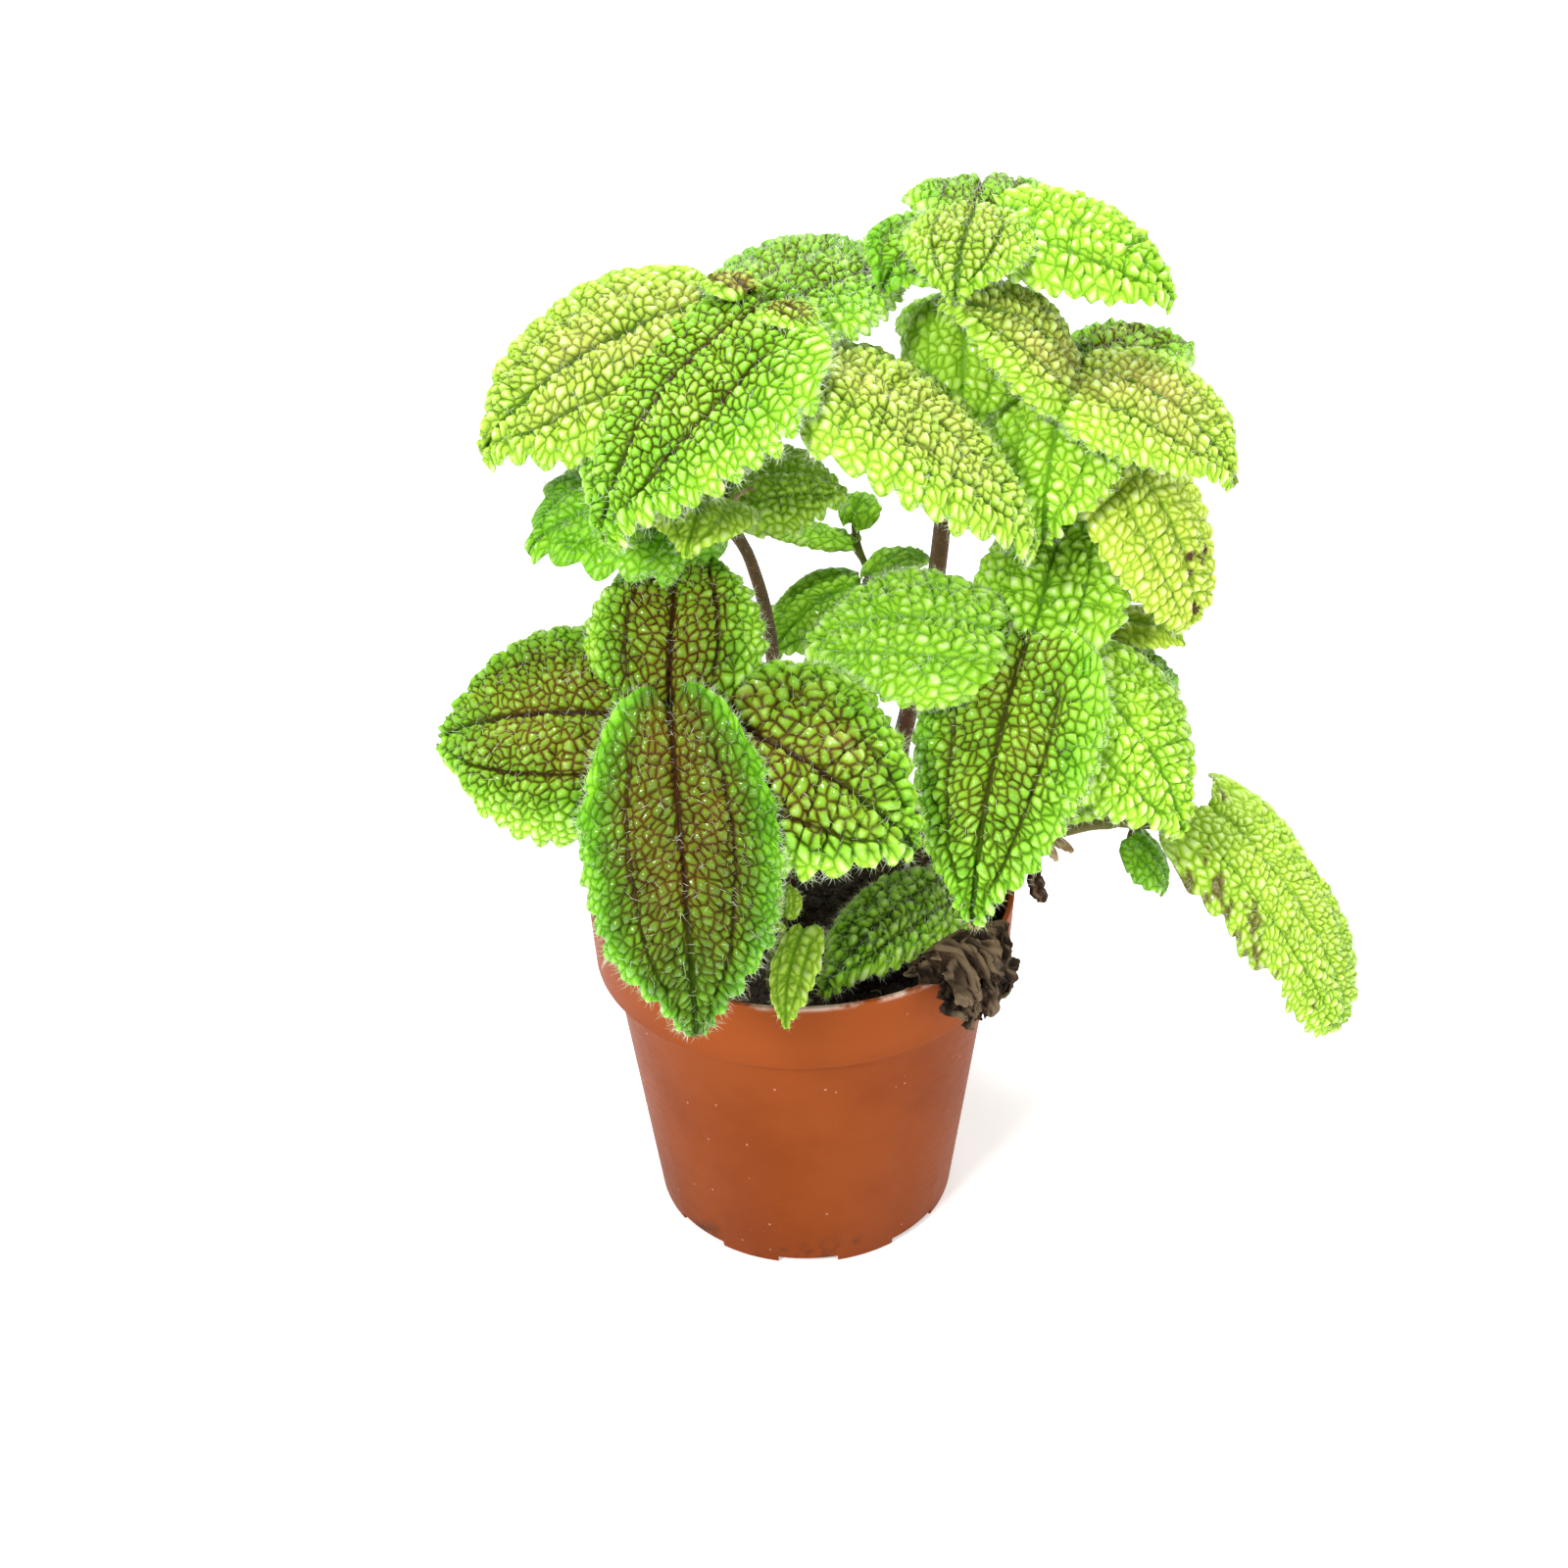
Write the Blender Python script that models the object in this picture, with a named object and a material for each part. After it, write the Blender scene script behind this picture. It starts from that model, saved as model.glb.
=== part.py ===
# A friendship plant in its nursery pot: quilted, toothed leaves in crossed pairs on
# brown stems that stand in dark soil. Metres, +Z up, origin at the middle of the
# pot's foot, the front of the plant towards -Y.

import bpy
import math
import random
from mathutils import Vector

MM = 0.001

# Pot
RIM_RADIUS = 52.5 * MM
RIM_TOP = 91.0 * MM
BAND_FOOT = 73.0 * MM
BODY_RADIUS = 47.6 * MM
FOOT_RADIUS = 38.5 * MM
WALL = 1.3 * MM
FLOOR_THICK = 1.6 * MM
POT_SIDES = 48
FOOT_NOTCHES = 8
NOTCH_WIDTH = 15.0 * MM
NOTCH_HEIGHT = 2.0 * MM
DRAIN_HOLES = 4

# Soil
GAP = 0.5 * MM
SOIL_LEVEL = 81.0 * MM
SOIL_LUMP = 1.3 * MM

# Leaves
BLADE_THICK = 0.75 * MM
RIB_THICK = 1.5 * MM
PUFF = 1.15 * MM
GROOVE = 0.35 * MM
PETIOLE_GAP = 0.35 * MM
BLADE_START = 0.035

random.seed(17)


# One leaf each: where the blade starts and where its tip is (whole millimetres), its
# width, how far the midrib arches up, how far the margins bend down and how far the
# blade is turned about its midrib (degrees), the fullness at the base and at the tip,
# the teeth on a side, and the stem that carries it.
LEAVES = {
    "leaf_low_front": ((-25, -56, 167), (-21, -86, 108), 47, 10.3, 37, 3, 0.50, 0.75, 10, "stem_front"),
    "leaf_low_back": ((-27, -40, 164), (-25, -2, 184), 42, 7.0, 35, 0, 0.50, 0.75, 9, "stem_front"),
    "leaf_low_left": ((-35, -40, 160), (-81, -24, 145), 54, 7.9, 43, -40, 0.50, 0.75, 10, "stem_front"),
    "leaf_low_right": ((-16, -43, 160), (25, -60, 137), 50, 7.4, 36, 33, 0.50, 0.75, 10, "stem_front"),
    "leaf_mid_front": ((49, -25, 165), (37, -55, 112), 45, 9.0, 35, 0, 0.50, 0.90, 10, "stem_mid"),
    "leaf_mid_left": ((42, -20, 169), (1, -13, 160), 42, 8.0, 40, -24, 0.50, 0.75, 9, "stem_mid"),
    "leaf_mid_back": ((53, -14, 165), (66, 16, 178), 34, 6.0, 30, 0, 0.50, 0.75, 8, "stem_mid"),
    "leaf_mid_right": ((61, -18, 158), (86, -32, 122), 41, 7.0, 35, 21, 0.50, 0.75, 9, "stem_mid"),
    "leaf_mid_under": ((62, -5, 155), (94, 19, 131), 32, 5.9, 37, 4, 0.50, 0.75, 8, "stem_mid"),
    "leaf_mid_small": ((75, 6, 158), (90, 0, 154), 13, 2.0, 25, 20, 0.50, 0.75, 5, "stem_mid"),
    "leaf_high_left": ((61, 5, 218), (31, 0, 236), 32, 6.1, 32, -33, 0.50, 0.75, 8, "stem_right"),
    "leaf_high_right": ((65, 6, 218), (95, -13, 198), 40, 8.0, 33, 16, 0.50, 0.75, 9, "stem_right"),
    "leaf_high_front": ((61, 8, 216), (53, -10, 189), 30, 5.7, 41, 3, 0.50, 0.75, 8, "stem_right"),
    "leaf_high_back": ((65, 17, 215), (93, 40, 209), 30, 6.1, 31, 5, 0.50, 0.75, 7, "stem_right"),
    "leaf_top_front": ((39, 10, 252), (34, -7, 238), 30, 4.3, 33, -1, 0.45, 0.70, 7, "stem_tall"),
    "leaf_top_right": ((47, 17, 250), (82, 5, 232), 37, 7.2, 42, 20, 0.50, 0.75, 9, "stem_tall"),
    "leaf_top_back": ((41, 25, 250), (45, 48, 249), 28, 2.9, -12, -2, 0.50, 0.75, 6, "stem_tall"),
    "leaf_top_left": ((34, 19, 246), (19, 1, 238), 30, 3.5, 32, -12, 0.50, 0.75, 7, "stem_tall"),
    "leaf_tall_front": ((38, 15, 230), (37, 3, 213), 28, 3.5, 46, 2, 0.50, 0.75, 7, "stem_tall"),
    "leaf_tall_back": ((37, 25, 222), (44, 58, 212), 32, 6.0, 35, 0, 0.50, 0.75, 7, "stem_tall"),
    "leaf_tall_low": ((29, 28, 140), (40, 66, 128), 34, 7.0, 35, 6, 0.50, 0.75, 7, "stem_tall"),
    "leaf_tall_shoot": ((22, 24, 113), (18, 28, 120), 11, 2.0, 30, 0, 0.50, 0.75, 4, "stem_tall"),
    "leaf_crown_front": ((-8, -9, 237), (-40, -31, 194), 53, 9.5, 36, -8, 0.50, 0.75, 10, "stem_left"),
    "leaf_crown_left": ((-22, -11, 240), (-65, -21, 216), 48, 9.0, 32, -31, 0.50, 0.70, 10, "stem_left"),
    "leaf_crown_back": ((-9, 6, 237), (25, 26, 233), 49, 7.0, 36, 6, 0.50, 0.70, 9, "stem_left"),
    "leaf_crown_right": ((6, -11, 228), (51, -26, 188), 49, 7.5, 34, 4, 0.50, 0.75, 10, "stem_left"),
    "leaf_crown_young_left": ((-9, -8, 242), (-18, -1, 241), 13, 2.3, 20, 1, 0.50, 0.75, 4, "stem_left"),
    "leaf_crown_young_right": ((-4, -10, 239), (5, -19, 236), 13, 2.0, 19, 1, 0.50, 0.75, 4, "stem_left"),
    "leaf_inner_left": ((-22, 1, 193), (-59, -14, 190), 44, 5.9, 29, -19, 0.50, 0.70, 6, "stem_left"),
    "leaf_inner_right": ((-12, 2, 195), (12, 4, 190), 32, 5.0, 35, 14, 0.50, 0.75, 6, "stem_left"),
    "leaf_inner_front": ((-18, -10, 197), (-23, -28, 191), 24, 3.8, 16, -5, 0.50, 0.75, 6, "stem_left"),
    "leaf_inner_back": ((-16, 8, 192), (-38, 44, 182), 40, 7.0, 35, -8, 0.50, 0.75, 7, "stem_left"),
    "leaf_twig_left": ((12, 46, 163), (-13, 37, 169), 16, 1.1, 40, 0, 0.50, 0.75, 6, "stem_twig"),
    "leaf_twig_top": ((14, 43, 168), (20, 50, 171), 13, 3.0, 29, 3, 0.50, 0.75, 4, "stem_twig"),
    "leaf_twig_down": ((15, 38, 153), (-7, 26, 139), 30, 7.1, 34, -21, 0.50, 0.75, 7, "stem_twig"),
    "leaf_twig_right": ((19, 34, 158), (34, 42, 157), 15, 3.8, 30, 1, 0.50, 0.75, 5, "stem_twig"),
    "leaf_twig_back": ((12, 40, 141), (-6, 70, 128), 27, 6.0, 34, 1, 0.50, 0.75, 6, "stem_twig"),
    "leaf_side_small": ((82, 2, 100), (91, -2, 83), 20, 2.3, 34, -2, 0.50, 0.75, 5, "stem_side"),
    "leaf_side_far": ((94, 4, 107), (136, -14, 57), 33, 8.0, 35, 14, 0.28, 0.60, 11, "stem_side"),
    "leaf_side_near": ((74, 12, 113), (60, 1, 104), 26, 3.9, 27, 0, 0.50, 0.75, 6, "stem_side"),
    "leaf_right_low": ((73, 10, 198), (90, -4, 160), 37, 6.0, 30, 6, 0.50, 0.75, 9, "stem_right"),
    "leaf_right_back": ((60, 26, 197), (48, 60, 180), 36, 7.0, 35, 0, 0.50, 0.75, 8, "stem_right"),
    "leaf_front_low": ((-21, -20, 112), (-40, 10, 106), 26, 5.0, 35, -10, 0.50, 0.75, 6, "stem_front"),
    "leaf_on_soil": ((38, -3, 92), (4, -45, 89), 27, 5.8, 39, -4, 0.50, 0.75, 9, "stem_side"),
}

# One stem each: points from the foot in the soil to the top (millimetres) with the
# stem's radius there.
STEMS = {
    "stem_left": (((-3, 5, 74.5), 2.0), ((-4, 4, 115), 1.9), ((-6, 3, 155), 1.6), ((-10, 2, 176), 1.4),
                  ((-16, 0, 192), 1.4), ((-13, 9, 210), 1.2), ((-8, 5, 230), 1.1), ((-7, 0, 236), 1.0)),
    "stem_tall": (((20, 25, 74.5), 2.4), ((25, 22, 113), 2.3), ((31, 20, 145), 2.2), ((34.6, 20, 176), 2.0),
                  ((37, 20, 222), 1.6), ((40, 20, 249), 1.2)),
    "stem_right": (((26, 9, 74.5), 2.2), ((40, 24, 125), 2.0), ((55, 30, 165), 1.8), ((62, 26, 197), 1.6),
                   ((63, 12, 214), 1.2)),
    "stem_side": (((33, 2, 74.5), 1.6), ((43, 3, 91), 1.6), ((53, 4, 96.5), 1.5), ((62, 6, 99), 1.4),
                  ((76, 8, 102), 1.3), ((88, 5, 103), 1.1)),
    "stem_mid": (((17, 3, 74.5), 2.0), ((26, 1, 110), 1.9), ((42, -11, 142), 1.7), ((50, -18, 163), 1.3)),
    "stem_front": (((-14, -22, 74.5), 2.2), ((-18, -27, 110), 2.0), ((-23, -36, 140), 1.7), ((-27, -44, 160), 1.3)),
    "stem_twig": (((5, 25, 74.5), 1.2), ((10, 32, 115), 1.1), ((18, 39, 150), 0.9), ((15, 43, 162), 0.8)),
    "stem_shoot": (((-8, -30, 74.5), 0.9), ((-7, -35, 95), 0.8), ((-3, -40, 104), 0.7)),
}

# Leaves of the young shoot at the front, which are one piece with its stem.
SHOOT_LEAVES = {
    "shoot_hanging": ((0, -44, 106), (-4, -60, 91), 10, 3.0, 30, 0, 0.50, 0.75, 4),
    "shoot_upper": ((-4, -37, 106), (-3, -30, 110), 8, 1.6, 19, -2, 0.50, 0.75, 3),
    "shoot_lower": ((-5, -40, 106), (-11, -44, 106), 7, 1.4, 20, 0, 0.50, 0.75, 3),
}


def clear_scene():
    for item in list(bpy.data.objects):
        bpy.data.objects.remove(item, do_unlink=True)


def principled(name, colour, roughness, metallic=0.0):
    made = bpy.data.materials.new(name)
    made.use_nodes = True
    shader = made.node_tree.nodes["Principled BSDF"]
    shader.inputs["Base Color"].default_value = (*colour, 1.0)
    shader.inputs["Roughness"].default_value = roughness
    shader.inputs["Metallic"].default_value = metallic
    made.diffuse_color = (*colour, 1.0)
    return made


def mesh_object(name, points, faces, material, smooth=True):
    mesh = bpy.data.meshes.new(name)
    mesh.from_pydata([tuple(p) for p in points], [], faces)
    mesh.update()
    made = bpy.data.objects.new(name, mesh)
    bpy.context.scene.collection.objects.link(made)
    mesh.materials.append(material)
    if smooth:
        mesh.shade_smooth()
    return made


def baked(item):
    """Replaces the object's mesh by its evaluated one and drops its modifiers."""
    bpy.context.view_layer.update()
    graph = bpy.context.evaluated_depsgraph_get()
    mesh = bpy.data.meshes.new_from_object(item.evaluated_get(graph))
    item.modifiers.clear()
    item.data = mesh
    return item


def combine(body, others, operation):
    """One Boolean of the body with a whole collection, applied, and the rest removed."""
    group = bpy.data.collections.new(body.name + "_" + operation.lower())
    bpy.context.scene.collection.children.link(group)
    for other in others:
        bpy.context.scene.collection.objects.unlink(other)
        group.objects.link(other)
    step = body.modifiers.new(operation.lower(), "BOOLEAN")
    step.operand_type = "COLLECTION"
    step.collection = group
    step.operation = operation
    step.solver = "EXACT"
    baked(body)
    for other in others:
        bpy.data.objects.remove(other, do_unlink=True)
    bpy.data.collections.remove(group)
    return body


def lathe(name, profile, sides, material):
    """A solid turned about Z from (radius, height) points, from its bottom on the axis outwards."""
    points = []
    faces = []
    rows = []
    for radius, height in profile:
        row = []
        if radius < 1e-6:
            row.append(len(points))
            points.append((0.0, 0.0, height))
        else:
            for i in range(sides):
                turn = 2 * math.pi * i / sides
                row.append(len(points))
                points.append((radius * math.cos(turn), radius * math.sin(turn), height))
        rows.append(row)
    for low, high in zip(rows[:-1], rows[1:]):
        for i in range(sides):
            j = (i + 1) % sides
            if len(low) == 1 and len(high) == 1:
                continue
            if len(low) == 1:
                faces.append((low[0], high[j], high[i]))
            elif len(high) == 1:
                faces.append((low[i], low[j], high[0]))
            else:
                faces.append((low[i], low[j], high[j], high[i]))
    return mesh_object(name, points, faces, material)


def tube(name, path, sides, material, swell=0.0):
    """A round stem through the given (point, radius) pairs, in millimetres, with flat ends."""
    centres = [Vector(point) * MM for point, radius in path]
    radii = [(radius + swell) * MM for point, radius in path]
    points = []
    faces = []
    side = None
    for i, centre in enumerate(centres):
        before = centres[max(i - 1, 0)]
        after = centres[min(i + 1, len(centres) - 1)]
        along = (after - before).normalized()
        if side is None:
            seed = Vector((0.9, 0.1, 0.2))
            side = (seed - along * seed.dot(along)).normalized()
        side = (side - along * side.dot(along)).normalized()
        other = along.cross(side)
        for k in range(sides):
            turn = 2 * math.pi * k / sides
            points.append(centre + (side * math.cos(turn) + other * math.sin(turn)) * radii[i])
    for i in range(len(centres) - 1):
        for k in range(sides):
            a = i * sides + k
            b = i * sides + (k + 1) % sides
            faces.append((a, b, b + sides, a + sides))
    faces.append(tuple(reversed(range(sides))))
    last = (len(centres) - 1) * sides
    faces.append(tuple(range(last, last + sides)))
    return mesh_object(name, points, faces, material)


def bud(name, centre, radius, material):
    """A small pointed bud at a stem's top."""
    rows = ((0.0, -0.9), (0.75, -0.6), (1.0, 0.0), (0.7, 0.7), (0.0, 1.5))
    made = lathe(name, [(r * radius * MM, h * radius * MM) for r, h in rows], 8, material)
    for point in made.data.vertices:
        point.co += Vector(centre) * MM
    return made


def blade_frame(leaf):
    base, tip, width, bow, arch, turn = leaf[:6]
    base = Vector(base) * MM
    tip = Vector(tip) * MM
    chord = (tip - base).normalized()
    up = Vector((0, 0, 1))
    normal = (up - chord * up.dot(chord)).normalized()
    side = chord.cross(normal)
    turn = math.radians(turn)
    normal, side = (normal * math.cos(turn) + side * math.sin(turn),
                    side * math.cos(turn) - normal * math.sin(turn))
    middle = (base + tip) / 2 + normal * (2 * bow * MM)
    return base, middle, tip, normal, side


def blade_half(leaf, u):
    full, sharp = leaf[6:8]
    peak = (full / (full + sharp)) ** full * (sharp / (full + sharp)) ** sharp
    return leaf[2] / 2 * MM * max(u, 0.0) ** full * max(1 - u, 0.0) ** sharp / peak


def blade_point(leaf, u, across, lift=0.0):
    """A point of the blade: u runs along the midrib and across is the signed width, in metres."""
    base, middle, tip, normal, side = blade_frame(leaf)
    along = ((middle - base) * (2 * (1 - u)) + (tip - middle) * (2 * u)).normalized()
    right = along.cross(normal).normalized()
    out = right.cross(along)
    centre = base * (1 - u) ** 2 + middle * (2 * u * (1 - u)) + tip * u * u
    bend = math.radians(leaf[4]) / (leaf[2] / 2 * MM)
    spot = centre + right * (math.sin(bend * across) / bend) - out * ((1 - math.cos(bend * across)) / bend)
    return spot + (out * math.cos(bend * across) + right * math.sin(bend * across)) * lift


def leaf_sheet(leaf):
    """Points and triangles of one blade's upper face, with the points along the midrib.

    Rows of side veins leave the midrib and sweep towards the tip; every cell between
    the veins is puffed up, and each row ends in one tooth on both margins.
    """
    teeth = leaf[8]
    points = []
    faces = []
    ribs = []
    puff = PUFF * (1.0 if leaf[2] > 28 else 0.6)
    shares = (0.0, 0.52, 0.88) if leaf[2] > 36 else (0.0, 0.84)
    first = BLADE_START
    last = 0.965

    def add(u, across, lift):
        points.append(blade_point(leaf, u, across, lift))
        return len(points) - 1

    def row_u(k, share):
        u = first + (last - first) * k / teeth
        return u + 0.055 * share * 4 * (u - first) * (1 - u)

    grid = {}
    for k in range(teeth + 1):
        for j, share in enumerate(shares):
            for hand in (-1, 1):
                if j == 0 and hand == 1:
                    grid[(k, 0, 1)] = grid[(k, 0, -1)]
                    continue
                u = row_u(k, share)
                spot = add(u, hand * share * blade_half(leaf, u), -GROOVE)
                grid[(k, j, hand)] = spot
                if j == 0:
                    ribs.append(spot)
    tip = add(1.0, 0.0, 0.0)
    for k in range(teeth):
        for hand in (-1, 1):
            for j in range(len(shares) - 1):
                a = grid[(k, j, hand)]
                b = grid[(k + 1, j, hand)]
                c = grid[(k + 1, j + 1, hand)]
                d = grid[(k, j + 1, hand)]
                u = (row_u(k, shares[j]) + row_u(k + 1, shares[j + 1])) / 2
                share = (shares[j] + shares[j + 1]) / 2
                top = add(u, hand * share * blade_half(leaf, u), puff)
                for p, q in ((a, b), (b, c), (c, d), (d, a)):
                    faces.append((p, top, q) if hand == 1 else (q, top, p))
            c = grid[(k + 1, len(shares) - 1, hand)]
            d = grid[(k, len(shares) - 1, hand)]
            u = row_u(k + 0.72, 1.0)
            tooth = add(u, hand * 1.04 * blade_half(leaf, u), 0.1 * MM)
            faces.append((d, tooth, c) if hand == 1 else (c, tooth, d))
    for hand in (-1, 1):
        for j in range(len(shares) - 1):
            a = grid[(teeth, j, hand)]
            b = grid[(teeth, j + 1, hand)]
            faces.append((a, b, tip) if hand == 1 else (b, a, tip))
    return points, faces, ribs


def leaf_solid(name, leaf, material):
    """The blade as a thin solid: both faces share one set of triangles, thicker at the midrib."""
    points, faces, ribs = leaf_sheet(leaf)
    made = mesh_object(name, points, faces, material, smooth=False)
    group = made.vertex_groups.new(name="midrib")
    group.add(ribs, 1.0, "REPLACE")
    thick = made.modifiers.new("thickness", "SOLIDIFY")
    thick.thickness = RIB_THICK if leaf[2] > 28 else 1.1 * MM
    thick.offset = -1.0
    thick.vertex_group = "midrib"
    thick.thickness_vertex_group = BLADE_THICK / thick.thickness
    thick.use_even_offset = False
    thick.use_rim = True
    return made


def nearest_on_path(path, spot):
    """The point of a stem's path, and its radius, nearest to a spot (all in millimetres)."""
    best = None
    for (p, r), (q, s) in zip(path[:-1], path[1:]):
        p = Vector(p)
        q = Vector(q)
        share = (spot - p).dot(q - p) / (q - p).length_squared
        share = min(max(share, 0.0), 1.0)
        foot = p.lerp(q, share)
        away = (foot - spot).length
        if best is None or away < best[0]:
            best = (away, foot, r + (s - r) * share)
    return best[1], best[2]


def petiole(name, leaf, path, material, gap=PETIOLE_GAP):
    """The stalk from a stem to just before a blade, or into it where the gap is negative."""
    base = Vector(leaf[0])
    tip = Vector(leaf[1])
    below = base - Vector((0, 0, 0.35 * (base - tip).length))
    start, radius = nearest_on_path(path, base.lerp(below, 0.45))
    frame = blade_frame(leaf)
    along = (frame[1] - frame[0]).normalized()
    end = blade_point(leaf, BLADE_START, 0.0, -0.75 * MM) / MM - along * (gap / MM)
    thick = min(1.0, 0.75 * radius)
    neck = end - along * 1.2
    bend = start.lerp(neck, 0.5) + Vector((0, 0, 0.06 * (neck - start).length))
    return tube(name, ((start, thick * 1.1), (bend, thick), (neck, 0.9 * thick), (end, 0.85 * thick)), 5, material)


def make_pot(material):
    """The pot: a flat foot whose edge has raised drain notches, a tapering wall and a stepped rim band."""
    inner_foot = FOOT_RADIUS - WALL
    profile = (
        (0.0, 0.0),
        (FOOT_RADIUS, 0.0),
        (BODY_RADIUS, BAND_FOOT),
        (RIM_RADIUS - 0.9 * MM, BAND_FOOT),
        (RIM_RADIUS, RIM_TOP - 0.6 * MM),
        (RIM_RADIUS - 0.5 * MM, RIM_TOP),
        (RIM_RADIUS - WALL, RIM_TOP - 0.2 * MM),
        (RIM_RADIUS - 2.1 * MM, BAND_FOOT + 1.4 * MM),
        (BODY_RADIUS - WALL, BAND_FOOT - 0.6 * MM),
        (inner_foot, FLOOR_THICK),
        (0.0, FLOOR_THICK),
    )
    pot = lathe("pot", profile, POT_SIDES, material)
    cutters = []
    for i in range(FOOT_NOTCHES):
        turn = 2 * math.pi * i / FOOT_NOTCHES + math.pi / 2
        across = Vector((-math.sin(turn), math.cos(turn), 0)) * (NOTCH_WIDTH / 2)
        near = Vector((math.cos(turn), math.sin(turn), 0)) * (FOOT_RADIUS - 5.5 * MM)
        far = Vector((math.cos(turn), math.sin(turn), 0)) * (FOOT_RADIUS + 3 * MM)
        flat = [near - across, far - across, far + across, near + across]
        corners = [p + Vector((0, 0, h)) for h in (-1 * MM, NOTCH_HEIGHT) for p in flat]
        sheets = ((3, 2, 1, 0), (4, 5, 6, 7), (0, 1, 5, 4), (1, 2, 6, 5), (2, 3, 7, 6), (3, 0, 4, 7))
        cutters.append(mesh_object("foot_notch_%d" % i, corners, sheets, material, smooth=False))
    for i in range(DRAIN_HOLES):
        turn = 2 * math.pi * (i + 0.5) / DRAIN_HOLES
        profile = ((0, -1 * MM), (4 * MM, -1 * MM), (4 * MM, 4 * MM), (0, 4 * MM))
        drain = lathe("drain_%d" % i, profile, 12, material)
        for point in drain.data.vertices:
            point.co += Vector((math.cos(turn), math.sin(turn), 0)) * 24 * MM
        cutters.append(drain)
    return combine(pot, cutters, "DIFFERENCE")


def soil_height(x, y):
    """Lumps of the soil's top, from a few crossed waves."""
    x = x / MM
    y = y / MM
    wave = math.sin(0.31 * x + 1.2) * math.cos(0.27 * y) + 0.7 * math.sin(0.53 * x - 0.47 * y + 0.8)
    wave += 0.5 * math.cos(0.83 * y + 0.35 * x)
    return SOIL_LEVEL + SOIL_LUMP * 0.6 * wave


def make_soil(material, stems, stem_material):
    sides = 24
    rows = ((0.0, 0), (0.22, 1), (0.44, 1), (0.64, 1), (0.83, 1), (1.0, 1))
    outer = RIM_RADIUS - 2.0 * MM - GAP
    points = []
    faces = []
    rings = []
    for share, ring in rows:
        row = []
        for i in range(sides if ring else 1):
            turn = 2 * math.pi * (i + 0.5 * (len(rings) % 2) * (share < 1)) / sides
            x = share * outer * math.cos(turn)
            y = share * outer * math.sin(turn)
            row.append(len(points))
            points.append((x, y, soil_height(x, y)))
        rings.append(row)
    wall = ((outer - 0.35 * MM, BAND_FOOT + 1.4 * MM), (BODY_RADIUS - WALL - GAP, BAND_FOOT - 0.4 * MM),
            (FOOT_RADIUS - WALL - GAP, NOTCH_HEIGHT + GAP))
    for radius, height in wall:
        row = []
        for i in range(sides):
            turn = 2 * math.pi * i / sides
            row.append(len(points))
            points.append((radius * math.cos(turn), radius * math.sin(turn), height))
        rings.append(row)
    rings.append([len(points)])
    points.append((0.0, 0.0, wall[-1][1]))
    for inner, out in zip(rings[:-1], rings[1:]):
        for i in range(sides):
            j = (i + 1) % sides
            if len(inner) == 1:
                faces.append((inner[0], out[i], out[j]))
            elif len(out) == 1:
                faces.append((inner[j], inner[i], out[0]))
            else:
                faces.append((inner[i], out[i], out[j]))
                faces.append((inner[i], out[j], inner[j]))
    soil = mesh_object("soil", points, faces, material)
    cutters = []
    for name, path in stems.items():
        foot = Vector(path[0][0])
        along = (Vector(path[1][0]) - foot).normalized()
        low = (foot - along * 0.5, path[0][1])
        cutters.append(tube(name + "_hole", (low,) + tuple(path[:2]), 8, stem_material, swell=0.45))
    return combine(soil, cutters, "DIFFERENCE")


def make_dead_leaf(material):
    """A brown crumpled leaf that hangs over the rim, folded along its length."""
    path = ((45.5, 90.2), (48.5, 92.6), (52.5, 93.6), (56.2, 91.6), (57.6, 87.0), (57.0, 81.5))
    columns = 9
    facing = math.radians(-46)
    outwards = Vector((math.cos(facing), math.sin(facing), 0))
    sidewards = Vector((-math.sin(facing), math.cos(facing), 0))
    points = []
    faces = []
    for k, (radius, height) in enumerate(path):
        for j in range(columns):
            share = 2 * j / (columns - 1) - 1
            reach = 12.5 - 0.5 * (k - 2) ** 2
            fold = 1.25 * (1 if (j + k) % 2 else -1) + random.uniform(-0.5, 0.5)
            lift = Vector((0, 0, fold * 0.8 - 0.35))
            if k > 3:
                lift = outwards * (1.6 + fold)
            if k < 1:
                lift = Vector((0, 0, 0.6 + fold * 0.4))
            spot = outwards * radius + sidewards * (share * reach) + Vector((0, 0, height)) + lift
            points.append(spot * MM)
    for k in range(len(path) - 1):
        for j in range(columns - 1):
            a = k * columns + j
            b = a + columns
            faces.append((a, b, b + 1))
            faces.append((a, b + 1, a + 1))
    made = mesh_object("dead_leaf", points, faces, material, smooth=False)
    thick = made.modifiers.new("thickness", "SOLIDIFY")
    thick.thickness = 0.8 * MM
    thick.offset = 0.0
    thick.use_even_offset = False
    return made


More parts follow.
